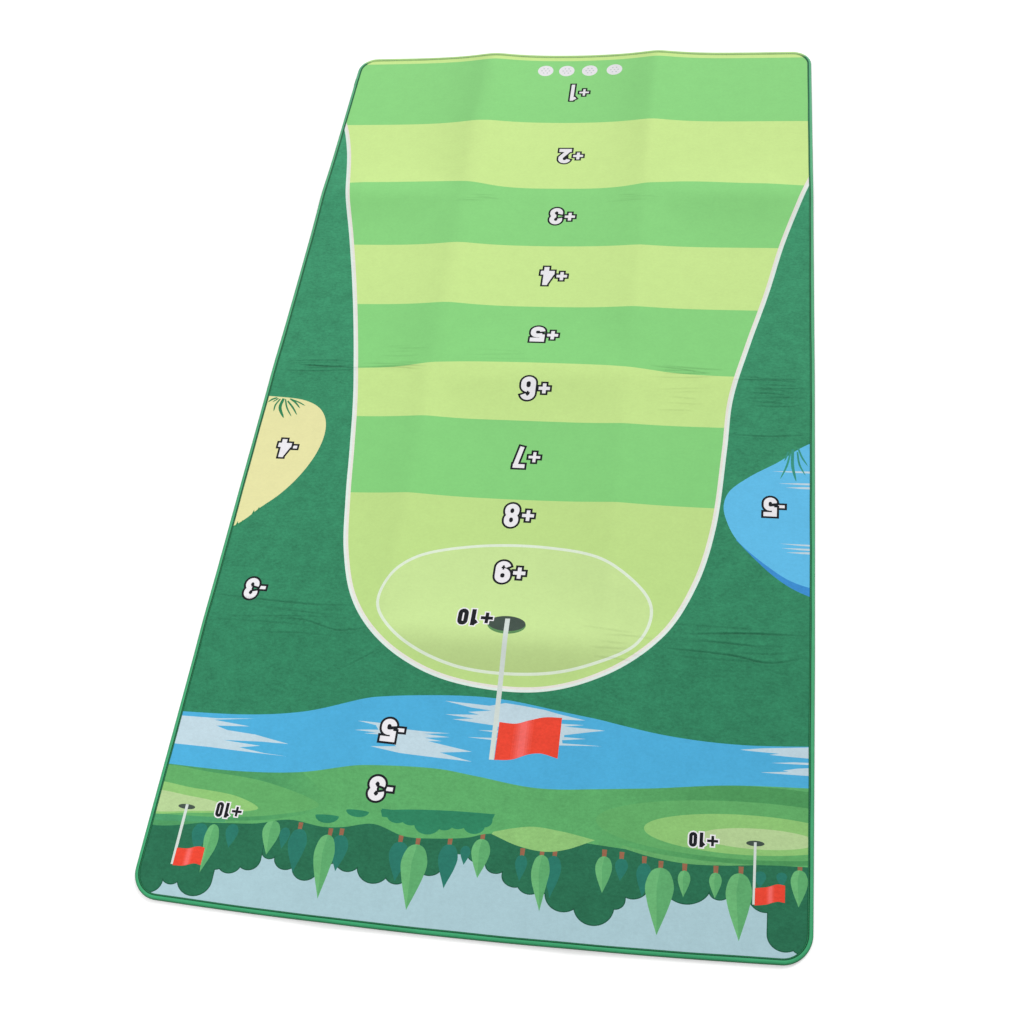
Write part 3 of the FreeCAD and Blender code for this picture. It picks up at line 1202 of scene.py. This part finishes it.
def dot_material():
    """Moulded rubber: matt black with fine bloom."""
    rubber = Material("dot_rubber", 0.6)
    bloom = rubber.noise(rubber.rest(), 0.25, 4.0)
    rubber.colour(linear((40, 41, 42)), rubber.speckle(bloom, 0.8, 1.35))
    rubber.put(rubber.inputs["Roughness"], rubber.speckle(bloom, 0.5, 0.7))
    rubber.relief(rubber.noise(rubber.rest(), 4.0, 2.0), 0.3, 0.0003)
    return rubber.data


RIB = 0.9
WARP = 0.7
SEAM_LINE = 5.2
TAPE_INNER_EDGE = 6.1
# Painted shade in the seam's groove and under the tape's inner edge.
TAPE_SEAM_SHADE = (0, 74, 42)
# The tape's colours low on its side and on its crest, at the flag end, at the tee end, and along the
# tee end itself. All are one green tape: the darker side, the lighter crest, the lightening toward the
# tee end and the pale strip along the tee end are painted light and shade.
TAPE_PAINTED_LIGHT = (((14, 112, 64), (52, 160, 106)), ((46, 136, 92), (92, 178, 130)),
             ((118, 170, 110), (184, 226, 144)))


def tape_material():
    """Woven binding tape: fine ribs across it, painted shade by the seam, a soft gloss and a painted
    highlight on the roll, painted shade low on its side, and painted light toward the tee end.
    """
    tape = Material("tape_weave", 0.55, sheen=0.06)
    strip = tape.attribute("tape_mm")
    along, across, height = tape.split(strip)
    y = tape.split(tape.rest())[1]
    warp = tape.times(tape.wave(across, WARP), 0.35)
    weave = tape.math("MULTIPLY_ADD", tape.wave(along, RIB), 0.65, warp)
    # Painted shade by the seam and past the tape's inner edge.
    from_seam = tape.math("ABSOLUTE", tape.math("SUBTRACT", across, SEAM_LINE))
    by_seam = tape.ranged(from_seam, 0.85, 0.4)
    dark = tape.math("MAXIMUM", by_seam, tape.ranged(across, TAPE_INNER_EDGE, TAPE_INNER_EDGE + 0.4))
    flag_lit_and_shaded, tee_lit_and_shaded, tee_end_lit_and_shaded = [[linear(ink) for ink in pair] for pair in TAPE_PAINTED_LIGHT]
    # Painted light and shade: lighter toward the tee end, darker low on the side and lighter on the
    # crest.
    toward_tee = tape.ranged(y, HALF_LENGTH, -HALF_LENGTH)
    low, crest = [tape.mix(toward_tee, flag, tee) for flag, tee in zip(flag_lit_and_shaded, tee_lit_and_shaded)]
    colour = tape.mix(dark, tape.mix(tape.ranged(height, 4.2, 5.3), low, crest), linear(TAPE_SEAM_SHADE))
    # Painted highlight: the strip along the tee end is pale, lighter on top.
    tee_end = tape.mix(tape.ranged(height, 3.6, 4.5), *tee_end_lit_and_shaded)
    colour = tape.mix(tape.ranged(y, 15.0 - HALF_LENGTH, 8.0 - HALF_LENGTH), colour, tee_end)
    dye = tape.speckle(tape.noise(strip, (0.03, 0.05, 0.03), 4.0), -0.07, 0.07)
    fuzz = tape.speckle(tape.noise(strip, (0.9, 1.4, 1.0)), -0.05, 0.05)
    tape.colour(colour, tape.total(tape.ranged(weave, -1, 1, 0.93, 1.05), dye, fuzz))
    tape.put(tape.inputs["Specular IOR Level"], tape.ranged(dark, 0.0, 1.0, 0.3, 0.05))
    dimple = tape.times(tape.times(tape.wave(along, STITCH_PITCH), by_seam), 0.6)
    tape.relief(tape.total(tape.times(weave, 0.35), dimple), 0.4, 0.0004)
    return tape.data


TWIST_ALONG = 0.45
TWIST_ROUND = 0.6


def thread_material(name, colour):
    """Twisted polyester sewing thread."""
    thread = Material(name, 0.5, sheen=0.15)
    strip = thread.attribute("tape_mm")
    along, turn, _ = thread.split(strip)
    round_it = thread.times(turn, math.tau / TWIST_ROUND)
    twist = thread.math("SINE", thread.math("MULTIPLY_ADD", along, math.tau / TWIST_ALONG, round_it))
    lint = thread.speckle(thread.noise(strip, 0.6), -0.06, 0.06)
    thread.colour(linear(colour), thread.total(thread.ranged(twist, -1, 1, 0.82, 1.12), lint))
    thread.relief(twist, 0.4, 0.0002)
    return thread.data


# ---------------------------------------------------------------- meshes

def add_vector_attribute(mesh, name, values):
    attribute = mesh.attributes.new(name, "FLOAT_VECTOR", "POINT")
    attribute.data.foreach_set("vector", np.asarray(values, np.float32).ravel())


def make_object(name, flat, faces, materials, slots=None, normals=None):
    """A mesh from points of the flat mat, in millimetres, which it keeps as an attribute."""
    flat = np.asarray(flat, float)
    mesh = bpy.data.meshes.new(name)
    mesh.from_pydata((laid(flat) * MM).tolist(), [], faces)
    for material in materials:
        mesh.materials.append(material)
    if slots is not None:
        mesh.polygons.foreach_set("material_index", np.asarray(slots, np.int32))
    mesh.polygons.foreach_set("use_smooth", [True] * len(mesh.polygons))
    add_vector_attribute(mesh, "flat_mm", flat)
    mesh.validate()
    if normals is not None:
        mesh.normals_split_custom_set_from_vertices(np.asarray(normals).tolist())
    mesh.update()
    obj = bpy.data.objects.new(name, mesh)
    bpy.context.scene.collection.objects.link(obj)
    return obj


def depth_inside(x, y):
    """How far a place is inside the mat's outline."""
    radius = corner_radius(y)
    beyond_x = abs(x) - (HALF_WIDTH - radius)
    beyond_y = abs(y) - (HALF_LENGTH - radius)
    if beyond_x > 0 and beyond_y > 0:
        return radius - math.hypot(beyond_x, beyond_y)
    return radius - max(beyond_x, beyond_y)


def grid_points(inset, pitch):
    """A staggered grid inside the mat's outline moved in by inset."""
    points = []
    rows = int((LENGTH - 2 * inset) / pitch)
    columns = int((WIDTH - 2 * inset) / pitch)
    for j in range(rows + 1):
        y = -HALF_LENGTH + inset + (LENGTH - 2 * inset) * j / rows
        shift = 0.25 if j % 2 else -0.25
        for i in range(columns + 1):
            x = -HALF_WIDTH + inset + (WIDTH - 2 * inset) * (i + shift) / columns
            if abs(x) < HALF_WIDTH - inset and depth_inside(x, y) > inset - GRID_TOLERANCE:
                points.append((x, y))
    return points


def fold_chains():
    """Rows of mesh edges across the mat at its fold, the same in all its layers."""
    reach = HALF_WIDTH - FOLD_ROW_MARGIN
    across = np.linspace(-reach, reach, int(2 * reach / FACE_GRID))
    return [[(float(x), y) for x in across] for y in fold_rows()]


# How far from a crease the extra columns of mesh points are that keep it crisp.
PUCKER_COLUMNS = (-4.5, -2.6, -1.3, 0.0, 1.3, 2.6, 4.5)
RIDGE_COLUMNS = (-5.0, -2.0, 2.0, 5.0)
RIDGE_STEP = 7.0


def pucker_points():
    """Extra mesh points across each fine crease."""
    points = []
    for curve, _ in pucker_curves():
        fine = smooth(curve, step=3.0)
        for distance in PUCKER_COLUMNS:
            points.extend(offsets(fine, distance))
    return points


def ridge_points():
    """Extra mesh points along each long crease, so that it stays crisp."""
    reach = HALF_LENGTH - FACE_GRID
    rows = [float(y) for y in np.arange(-reach, reach, RIDGE_STEP)]
    columns = [middle + across for middle, _, _ in RIDGES for across in RIDGE_COLUMNS]
    return [(x, y) for x in columns for y in rows]


def inside(x, y, polygon):
    """Which of the points lie in a polygon, by the even-odd rule."""
    result = np.zeros(len(x), bool)
    for (ax, ay), (bx, by) in zip(polygon, polygon[1:] + polygon[:1]):
        if ay != by:
            crosses = (ay > y) != (by > y)
            result ^= crosses & (x < (bx - ax) * (y - ay) / (by - ay) + ax)
    return result


def triangulate(border, extra, shapes=()):
    """Triangles inside the border, and for each the number of the last shape painted over it."""
    points = []
    edges = []
    for outline_points in [border] + [shape for ink, shape in shapes]:
        start = len(points)
        count = len(outline_points)
        points.extend(Vector(p) for p in outline_points)
        edges.extend((start + k, start + (k + 1) % count) for k in range(count))
    for chain in fold_chains():
        edges.extend((len(points) + k, len(points) + k + 1) for k in range(len(chain) - 1))
        points.extend(Vector(p) for p in chain)
    points.extend(Vector(p) for p in extra)
    result = delaunay_2d_cdt(points, edges, [], 0, CDT_SNAP if shapes else PLAIN_SNAP, False)
    places = np.array([(p[0], p[1]) for p in result[0]])
    triangles = np.array(result[2])
    x, y = places[triangles].mean(axis=1).T
    kept = inside(x, y, border)
    triangles = triangles[kept]
    x, y = x[kept], y[kept]
    tops = np.full(len(triangles), -1)
    for number, (ink, shape) in enumerate(shapes):
        xs, ys = zip(*shape)
        near = np.flatnonzero((x > min(xs)) & (x < max(xs)) & (y > min(ys)) & (y < max(ys)))
        tops[near[inside(x[near], y[near], shape)]] = number
    used, renumbered = np.unique(triangles, return_inverse=True)
    return places[used], renumbered.reshape(-1, 3).tolist(), tops


def border_loop(triangles):
    """The vertices round the outside of a triangulation, in order."""
    following = {}
    edges = set()
    for a, b, c in triangles:
        edges.update(((a, b), (b, c), (c, a)))
    for a, b in edges:
        if (b, a) not in edges:
            following[a] = b
    start = next(iter(following))
    loop = [start]
    while following[loop[-1]] != start:
        loop.append(following[loop[-1]])
    return loop


FOLD_CONTRAST = 1.9
TEE_FOLD_CONTRAST = 2.8
TEE_CONTRAST_ENDS = (-650.0, -380.0)
SLOPE_REACH = 0.4


def slope_normals(height, x, y):
    """Shading normals of a height field, with its slopes drawn out so low folds still read."""
    reach = SLOPE_REACH
    slope_x = (height(x + reach, y) - height(x - reach, y)) / (2 * reach)
    slope_y = (height(x, y + reach) - height(x, y - reach)) / (2 * reach)
    contrast = np.interp(y, TEE_CONTRAST_ENDS, (TEE_FOLD_CONTRAST, FOLD_CONTRAST))
    normals = np.stack([-slope_x, -slope_y, 1 / contrast], axis=1)
    return normals / np.linalg.norm(normals, axis=1, keepdims=True)


def at_height(places, height):
    return np.c_[places, np.broadcast_to(height, len(places))]


def ring_faces(base, sides, rings, closed=False):
    """Faces that join each ring of points to the next one, and with closed the last to the first."""
    faces = []
    for ring in range(rings if closed else rings - 1):
        a = base + ring * sides
        b = base + (ring + 1) % rings * sides
        for turn in range(sides):
            after = (turn + 1) % sides
            faces.append([a + turn, a + after, b + after, b + turn])
    return faces


def sheet_faces(triangles, loop, base, under_triangles, under_loop):
    """Faces of a closed sheet: its top, its underside, whose points start at base, and its rim."""
    faces = triangles + [[base + a, base + c, base + b] for a, b, c in under_triangles]
    for k, upper in enumerate(loop):
        after = (k + 1) % len(loop)
        faces.append([loop[after], upper, base + under_loop[k], base + under_loop[after]])
    return faces


def printed_face():
    """The brushed cloth with the picture: its top is divided along the edges of every ink."""
    shapes = printed_picture().shapes
    extra = grid_points(TAPE + 4.0, FACE_GRID) + ridge_points() + pucker_points()
    places, triangles, tops = triangulate(outline(TAPE, 6.0), extra, shapes)
    x, y = places.T
    raised, groove_shade = puckers(x, y)
    upper = at_height(places, FACE_TOP + raised)
    loop = border_loop(triangles)
    rim = [tuple(places[i]) for i in loop]
    under_places, under_triangles, _ = triangulate(rim, grid_points(30.0, HIDDEN_GRID))
    by_place = {tuple(np.round(place, 3)): i for i, place in enumerate(under_places)}
    under_loop = [by_place[tuple(np.round(place, 3))] for place in rim]
    faces = sheet_faces(triangles, loop, len(upper), under_triangles, under_loop)
    slots = [1 + INK_ORDER.index(shapes[number][0]) for number in tops]
    slots += [0] * (len(faces) - len(slots))
    downward = np.tile([0.0, 0.0, -1.0], (len(under_places), 1))
    normals = np.concatenate([slope_normals(face_height, x, y), downward])
    group = brushed_pile_group()
    materials = [face_reverse_material()] + [ink_material(name, group) for name in INK_ORDER]
    flat = np.concatenate([upper, at_height(under_places, FACE_BOTTOM)])
    piece = make_object("printed_face_cloth", flat, faces, materials, slots, normals)
    # The painted shade of the crease grooves, read by the inks.
    mark = piece.data.attributes.new("groove_shade", "FLOAT", "POINT")
    mark.data.foreach_set("value", np.r_[groove_shade, np.zeros(len(under_places))].astype(np.float32))
    return piece


def plain_layer(name, bottom, top, material):
    """A closed layer that follows the mat's lift, inside the binding."""
    places, triangles, _ = triangulate(outline(TAPE, 8.0), grid_points(TAPE + 8.0, LAYER_GRID))
    loop = border_loop(triangles)
    faces = sheet_faces(triangles, loop, len(places), triangles, loop)
    flat = np.concatenate([at_height(places, top), at_height(places, bottom)])
    piece = make_object(name, flat, faces, [material])
    shade_by_angle(piece, 40.0)
    return piece


def shade_by_angle(obj, degrees):
    """Sharp edges where the surface turns by more than an angle."""
    mesh = obj.data
    limit = math.radians(degrees)
    normals = np.zeros(len(mesh.polygons) * 3)
    mesh.polygons.foreach_get("normal", normals)
    normals = normals.reshape(-1, 3)
    first = {}
    sharp = np.zeros(len(mesh.edges), bool)
    loop_edges = np.zeros(len(mesh.loops), int)
    mesh.loops.foreach_get("edge_index", loop_edges)
    for polygon in mesh.polygons:
        for corner in polygon.loop_indices:
            edge = int(loop_edges[corner])
            other = first.setdefault(edge, polygon.index)
            if other != polygon.index:
                cosine = float(normals[other] @ normals[polygon.index])
                sharp[edge] = math.acos(max(-1.0, min(1.0, cosine))) > limit
    attribute = mesh.attributes.get("sharp_edge") or mesh.attributes.new("sharp_edge", "BOOLEAN", "EDGE")
    attribute.data.foreach_set("value", sharp)


# The tape's section, from its upper inner edge out round the mat's edge to the lower inner edge, and
# back along its inside: inset from the outline, height. It is puffed over the foam it wraps.
TAPE_OUTSIDE = (
    (6.72, 4.60), (6.80, 4.80), (6.60, 4.96), (6.2, 4.98), (5.8, 4.84), (5.4, 4.70), (5.0, 4.86),
    (4.6, 5.16), (3.9, 5.46), (3.0, 5.58), (2.1, 5.48), (1.2, 5.05), (0.5, 4.4), (0.1, 3.6), (-0.05, 2.7),
    (0.05, 1.8), (0.45, 0.9), (1.2, 0.25), (2.2, 0.02), (3.6, 0.0), (4.7, 0.06), (5.4, 0.24), (6.1, 0.06),
    (6.6, 0.08), (6.8, 0.30),
)
TAPE_INSIDE = (
    (6.6, 0.57), (5.4, 0.60), (2.6, 0.59), (1.3, 0.85), (0.66, 1.7), (0.56, 2.7), (0.70, 3.5),
    (1.1, 4.3), (2.0, 4.86), (3.0, 5.02), (4.0, 4.86), (4.8, 4.60), (5.4, 4.52), (6.4, 4.52),
)
TAPE_UPPER = 2.8
TAPE_LEG_FROM = 4.5
TAPE_PUFF_FROM = 4.6
# Slow waves along the tape: size, length, phase. They puff its roll and let its upper leg drift.
PUFF_WAVES = ((0.05, 37.0, 0.0), (0.04, 11.3, 1.0))
DRIFT_WAVES = ((0.16, 53.0, 0.0), (0.10, 17.0, 2.0))
GATHER_WAVES = ((0.16, 1.15, 0.0),)
LAP_PLACE = (HALF_WIDTH, -688.0)
LAP_LENGTH = 16.0
LAP_RISE = 0.42
LAP_OUTSET = 0.45
UNDERSIDE_FROM = 30.0


def tape_lengths(stations):
    places = np.array(stations)[:, :2]
    return np.concatenate([[0.0], np.cumsum(np.hypot(*np.diff(places, axis=0).T))])


def waves(rows, length):
    return sum(size * math.sin(length / pitch + phase) for size, pitch, phase in rows)


def edge_tape():
    """The folded tape swept round the mat, with slight pulls, gathers at the corners and one lap."""
    stations = around(0.0, STITCH_PITCH)
    lengths = tape_lengths(stations)
    section = TAPE_OUTSIDE + TAPE_INSIDE
    flat = []
    strips = []
    for (x, y, out_x, out_y), length in zip(stations, lengths):
        corner = min(abs(out_x), abs(out_y)) > 0.02
        lap_away = math.hypot(x - LAP_PLACE[0], y - LAP_PLACE[1])
        lap = 1.0 if lap_away < LAP_LENGTH / 2 else 0.0
        puff = waves(PUFF_WAVES, length)
        drift = waves(DRIFT_WAVES, length)
        gather = waves(GATHER_WAVES, length) if corner else 0.0
        for k, (inset, height) in enumerate(section):
            is_top = height > TAPE_UPPER
            moved = inset + (drift if inset > TAPE_LEG_FROM and is_top else 0.0)
            raised = height
            if k < len(TAPE_OUTSIDE) and is_top:
                bulge = max(0.0, height - TAPE_PUFF_FROM)
                raised += bulge * puff + LAP_RISE * lap * min(1.0, bulge + 0.4)
                raised += gather * min(1.0, inset / 4.0) * (0.4 if inset > 4.8 else 1.0)
            if k < len(TAPE_OUTSIDE) and inset < 1.0:
                moved = inset - LAP_OUTSET * lap
            flat.append((x - out_x * moved, y - out_y * moved, raised))
            strips.append((length, inset if is_top else UNDERSIDE_FROM - inset, height))
    faces = ring_faces(0, len(section), len(stations), closed=True)
    piece = make_object("edge_tape", flat, faces, [tape_material()])
    add_vector_attribute(piece.data, "tape_mm", strips)
    fix_normals(piece)
    shade_by_angle(piece, 60.0)
    return piece


def fix_normals(obj):
    """Turns the mesh inside out if its faces point inwards."""
    mesh = obj.data
    volume = 0.0
    for polygon in mesh.polygons:
        volume += polygon.center.dot(polygon.normal) * polygon.area
    if volume < 0:
        mesh.flip_normals()


STITCH_SIDES = 6
STITCH_SHARE = 0.86
STITCH_START = 0.08
STITCH_SHIFT = 0.03
STITCH_SWAY = 0.06
STITCH_RINGS = (
    # share of the stitch's length, drop, share of its thickness
    (0.0, -0.34, 0.75), (0.14, -0.05, 1.0), (0.5, 0.0, 1.0), (0.86, -0.05, 1.0), (1.0, -0.34, 0.75),
)
STITCH_FLATNESS = 0.85


def stitches(name, height, hump, radius, material):
    """A row of separate stitches that dive into the tape at each end."""
    line = around(SEAM_INSET, 1.0)
    lengths = tape_lengths(line)
    xs, ys, _, _ = zip(*line)
    total = lengths[-1]
    count = int(total / STITCH_PITCH)
    random.seed(SEED)
    flat = []
    strips = []
    faces = []
    for number in range(count):
        shift = random.uniform(-STITCH_SHIFT, STITCH_SHIFT)
        start = (number + STITCH_START + shift) * total / count
        sway = random.uniform(-STITCH_SWAY, STITCH_SWAY)
        base = len(flat)
        for share, drop, thickness in STITCH_RINGS:
            at = start + STITCH_PITCH * STITCH_SHARE * share
            x, ahead_x = np.interp((at, at + 0.5), lengths, xs)
            y, ahead_y = np.interp((at, at + 0.5), lengths, ys)
            size = max(math.hypot(ahead_x - x, ahead_y - y), 1e-6)
            side_x = (y - ahead_y) / size
            side_y = (ahead_x - x) / size
            thick = radius * thickness
            for turn in range(STITCH_SIDES):
                angle = math.tau * turn / STITCH_SIDES
                aside = sway + thick * math.cos(angle)
                up = thick * STITCH_FLATNESS * math.sin(angle) + drop * hump
                flat.append((x + side_x * aside, y + side_y * aside, height + up))
                strips.append((at, angle, 0.0))
        last = len(flat) - STITCH_SIDES
        faces += ring_faces(base, STITCH_SIDES, len(STITCH_RINGS))
        faces.append([base + turn for turn in reversed(range(STITCH_SIDES))])
        faces.append([last + turn for turn in range(STITCH_SIDES)])
    piece = make_object(name, flat, faces, [material])
    add_vector_attribute(piece.data, "tape_mm", strips)
    fix_normals(piece)
    return piece


DOT_PITCH = 40.0
DOT_BASE_RADIUS = 4.0
DOT_MARGIN = 5.0
DOT_TIP = 0.51
DOT_SIDES = 18
DOT_SIZES = (0.95, 1.0)
DOT_STRETCH = 0.03
DOT_PROFILE = ((1.0, 0.02), (0.97, -0.16), (0.86, -0.34), (0.62, -0.45), (0.30, -0.5))


def dot_centres(direction):
    centres = []
    for row in range(int(LENGTH / DOT_PITCH)):
        y = FOLD_Y + direction * (row + 0.5) * DOT_PITCH
        for column in range(int(WIDTH / DOT_PITCH)):
            x = (column - (WIDTH / DOT_PITCH - 1) / 2) * DOT_PITCH
            if depth_inside(x, y) > TAPE_LEG + DOT_BASE_RADIUS + DOT_MARGIN:
                centres.append((x, y))
    return centres


def grip_dots(name, direction, material):
    """Low rubber domes under one half of the backing, each a little different."""
    random.seed(SEED + direction)
    flat = []
    faces = []
    for x, y in dot_centres(direction):
        size = DOT_BASE_RADIUS * random.uniform(*DOT_SIZES)
        stretch = random.uniform(-DOT_STRETCH, DOT_STRETCH)
        base = len(flat)
        for share, drop in DOT_PROFILE:
            for turn in range(DOT_SIDES):
                angle = math.tau * turn / DOT_SIDES
                along_x = size * share * (1 + stretch) * math.cos(angle)
                along_y = size * share * (1 - stretch) * math.sin(angle)
                flat.append((x + along_x, y + along_y, BACKING_BOTTOM + drop))
        inner = len(flat) - DOT_SIDES
        tip = len(flat)
        flat.append((x, y, BACKING_BOTTOM - DOT_TIP))
        faces += ring_faces(base, DOT_SIDES, len(DOT_PROFILE))
        faces += [[inner + turn, inner + (turn + 1) % DOT_SIDES, tip] for turn in range(DOT_SIDES)]
        faces.append([base + turn for turn in reversed(range(DOT_SIDES))])
    piece = make_object(name, flat, faces, [material])
    fix_normals(piece)
    return piece


# ---------------------------------------------------------------- the scene

def bend_at_fold(piece):
    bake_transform(piece)


LAYER_GAP = 0.01
# Each row of stitches: its height, how strongly it humps, and its thread's radius.
NEEDLE_ROW = (4.92, 1.0, 0.30)
NEEDLE_INK = (8, 86, 56)
BOBBIN_ROW = (0.20, -0.5, 0.20)
BOBBIN_INK = (18, 96, 66)


def build_mat():
    backing = plain_layer("backing_knit_cloth", BACKING_BOTTOM, FOAM_BOTTOM, knit_material())
    foam = plain_layer("foam_core_pad", FOAM_BOTTOM + LAYER_GAP, FACE_BOTTOM - LAYER_GAP, foam_material())
    face = printed_face()
    tape = edge_tape()
    needle = stitches("needle_stitches", *NEEDLE_ROW, thread_material("thread_top", NEEDLE_INK))
    bobbin = stitches("bobbin_stitches", *BOBBIN_ROW, thread_material("thread_under", BOBBIN_INK))
    rubber = dot_material()
    tee_dots = grip_dots("grip_dots_tee_domes", -1, rubber)
    flag_dots = grip_dots("grip_dots_flag_domes", 1, rubber)

    for piece in (backing, foam, face, tape, needle, bobbin, flag_dots):
        bend_at_fold(piece)
    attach(tee_dots, "tee_half")

    names = ((backing, "backing_cloth", "backing"), (foam, "foam_core", "foam"),
             (face, "printed_face", "printed_face"), (tape, "edge_binding", "binding"),
             (needle, "needle_thread", "thread"), (bobbin, "bobbin_thread", "thread"))
    for piece, node, slot in names:
        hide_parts(node + "_tee", node + "_flag")
    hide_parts("grip_dots_tee")
    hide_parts("grip_dots_flag")


FLOOR_REACH = 14.0
FLOOR_GREY = (0.72, 0.72, 0.72, 1.0)
FLOOR_GLOW = 0.42


def make_floor():
    mesh = bpy.data.meshes.new("studio_floor")
    corners = [(x, y, 0) for x, y in box(-FLOOR_REACH, -FLOOR_REACH, FLOOR_REACH, FLOOR_REACH)]
    mesh.from_pydata(corners, [], [[0, 1, 2, 3]])
    floor = bpy.data.objects.new("studio_floor", mesh)
    bpy.context.scene.collection.objects.link(floor)
    paper = Material("floor_paper", 0.9, specular=0.1)
    place = paper.add("ShaderNodeTexCoord").outputs["Object"]
    paper.colour(FLOOR_GREY, paper.speckle(paper.noise(place, 30.0), 0.995, 1.0))
    paper.inputs["Emission Color"].default_value = (1, 1, 1, 1)
    paper.inputs["Emission Strength"].default_value = FLOOR_GLOW
    mesh.materials.append(paper.data)


def area_light(name, place, target, size, power):
    data = bpy.data.lights.new(name, "AREA")
    data.shape = "RECTANGLE"
    data.size, data.size_y = size
    data.energy = power
    light = bpy.data.objects.new(name, data)
    light.location = place
    direction = Vector(target) - Vector(place)
    light.rotation_euler = direction.to_track_quat("-Z", "Y").to_euler()
    bpy.context.scene.collection.objects.link(light)


WORLD_STRENGTH = 0.385
SUN_STRENGTH = 1.68
SUN_WIDTH = 24.0
SUN_DIRECTION = (0.50, 0.75, -0.85)


def make_lights():
    world = bpy.data.worlds.new("studio")
    world.use_nodes = True
    background = world.node_tree.nodes["Background"]
    background.inputs["Color"].default_value = (1, 1, 1, 1)
    background.inputs["Strength"].default_value = WORLD_STRENGTH
    bpy.context.scene.world = world
    area_light("overhead", (0.55, -0.15, 3.4), (0, -0.1, 0), (3.0, 3.4), 35.5)
    area_light("near_fill", (1.0, 0.8, 0.75), (0.3, 0.45, 0), (0.6, 0.6), 2.0)
    data = bpy.data.lights.new("side_key", "SUN")
    data.energy = SUN_STRENGTH
    data.angle = math.radians(SUN_WIDTH)
    key = bpy.data.objects.new("side_key", data)
    key.rotation_euler = Vector(SUN_DIRECTION).to_track_quat("-Z", "Y").to_euler()
    bpy.context.scene.collection.objects.link(key)


CAMERA_PLACE = (-0.27128, 1.02867, 1.41112)
CAMERA_AIM = (0.0038, 0.1903, 0.0)
CAMERA_ROLL = 12.96
CAMERA_LENS = 42.47


def make_camera():
    """The photograph's view: from above the flag end, turned a little."""
    data = bpy.data.cameras.new("camera")
    data.lens = CAMERA_LENS
    data.sensor_width = 36.0
    data.clip_start = 0.01
    camera = bpy.data.objects.new("camera", data)
    place = Vector(CAMERA_PLACE)
    forward = (Vector(CAMERA_AIM) - place).normalized()
    level = forward.cross(Vector((0, 0, 1))).normalized()
    upright = level.cross(forward)
    roll = math.radians(CAMERA_ROLL)
    right = level * math.cos(roll) - upright * math.sin(roll)
    up = upright * math.cos(roll) + level * math.sin(roll)
    axes = Matrix((right, up, -forward)).transposed().to_4x4()
    camera.matrix_world = Matrix.Translation(place) @ axes
    bpy.context.scene.collection.objects.link(camera)
    bpy.context.scene.camera = camera


bpy.context.scene.view_settings.view_transform = "Standard"
make_camera()
build_mat()
make_floor()
make_lights()
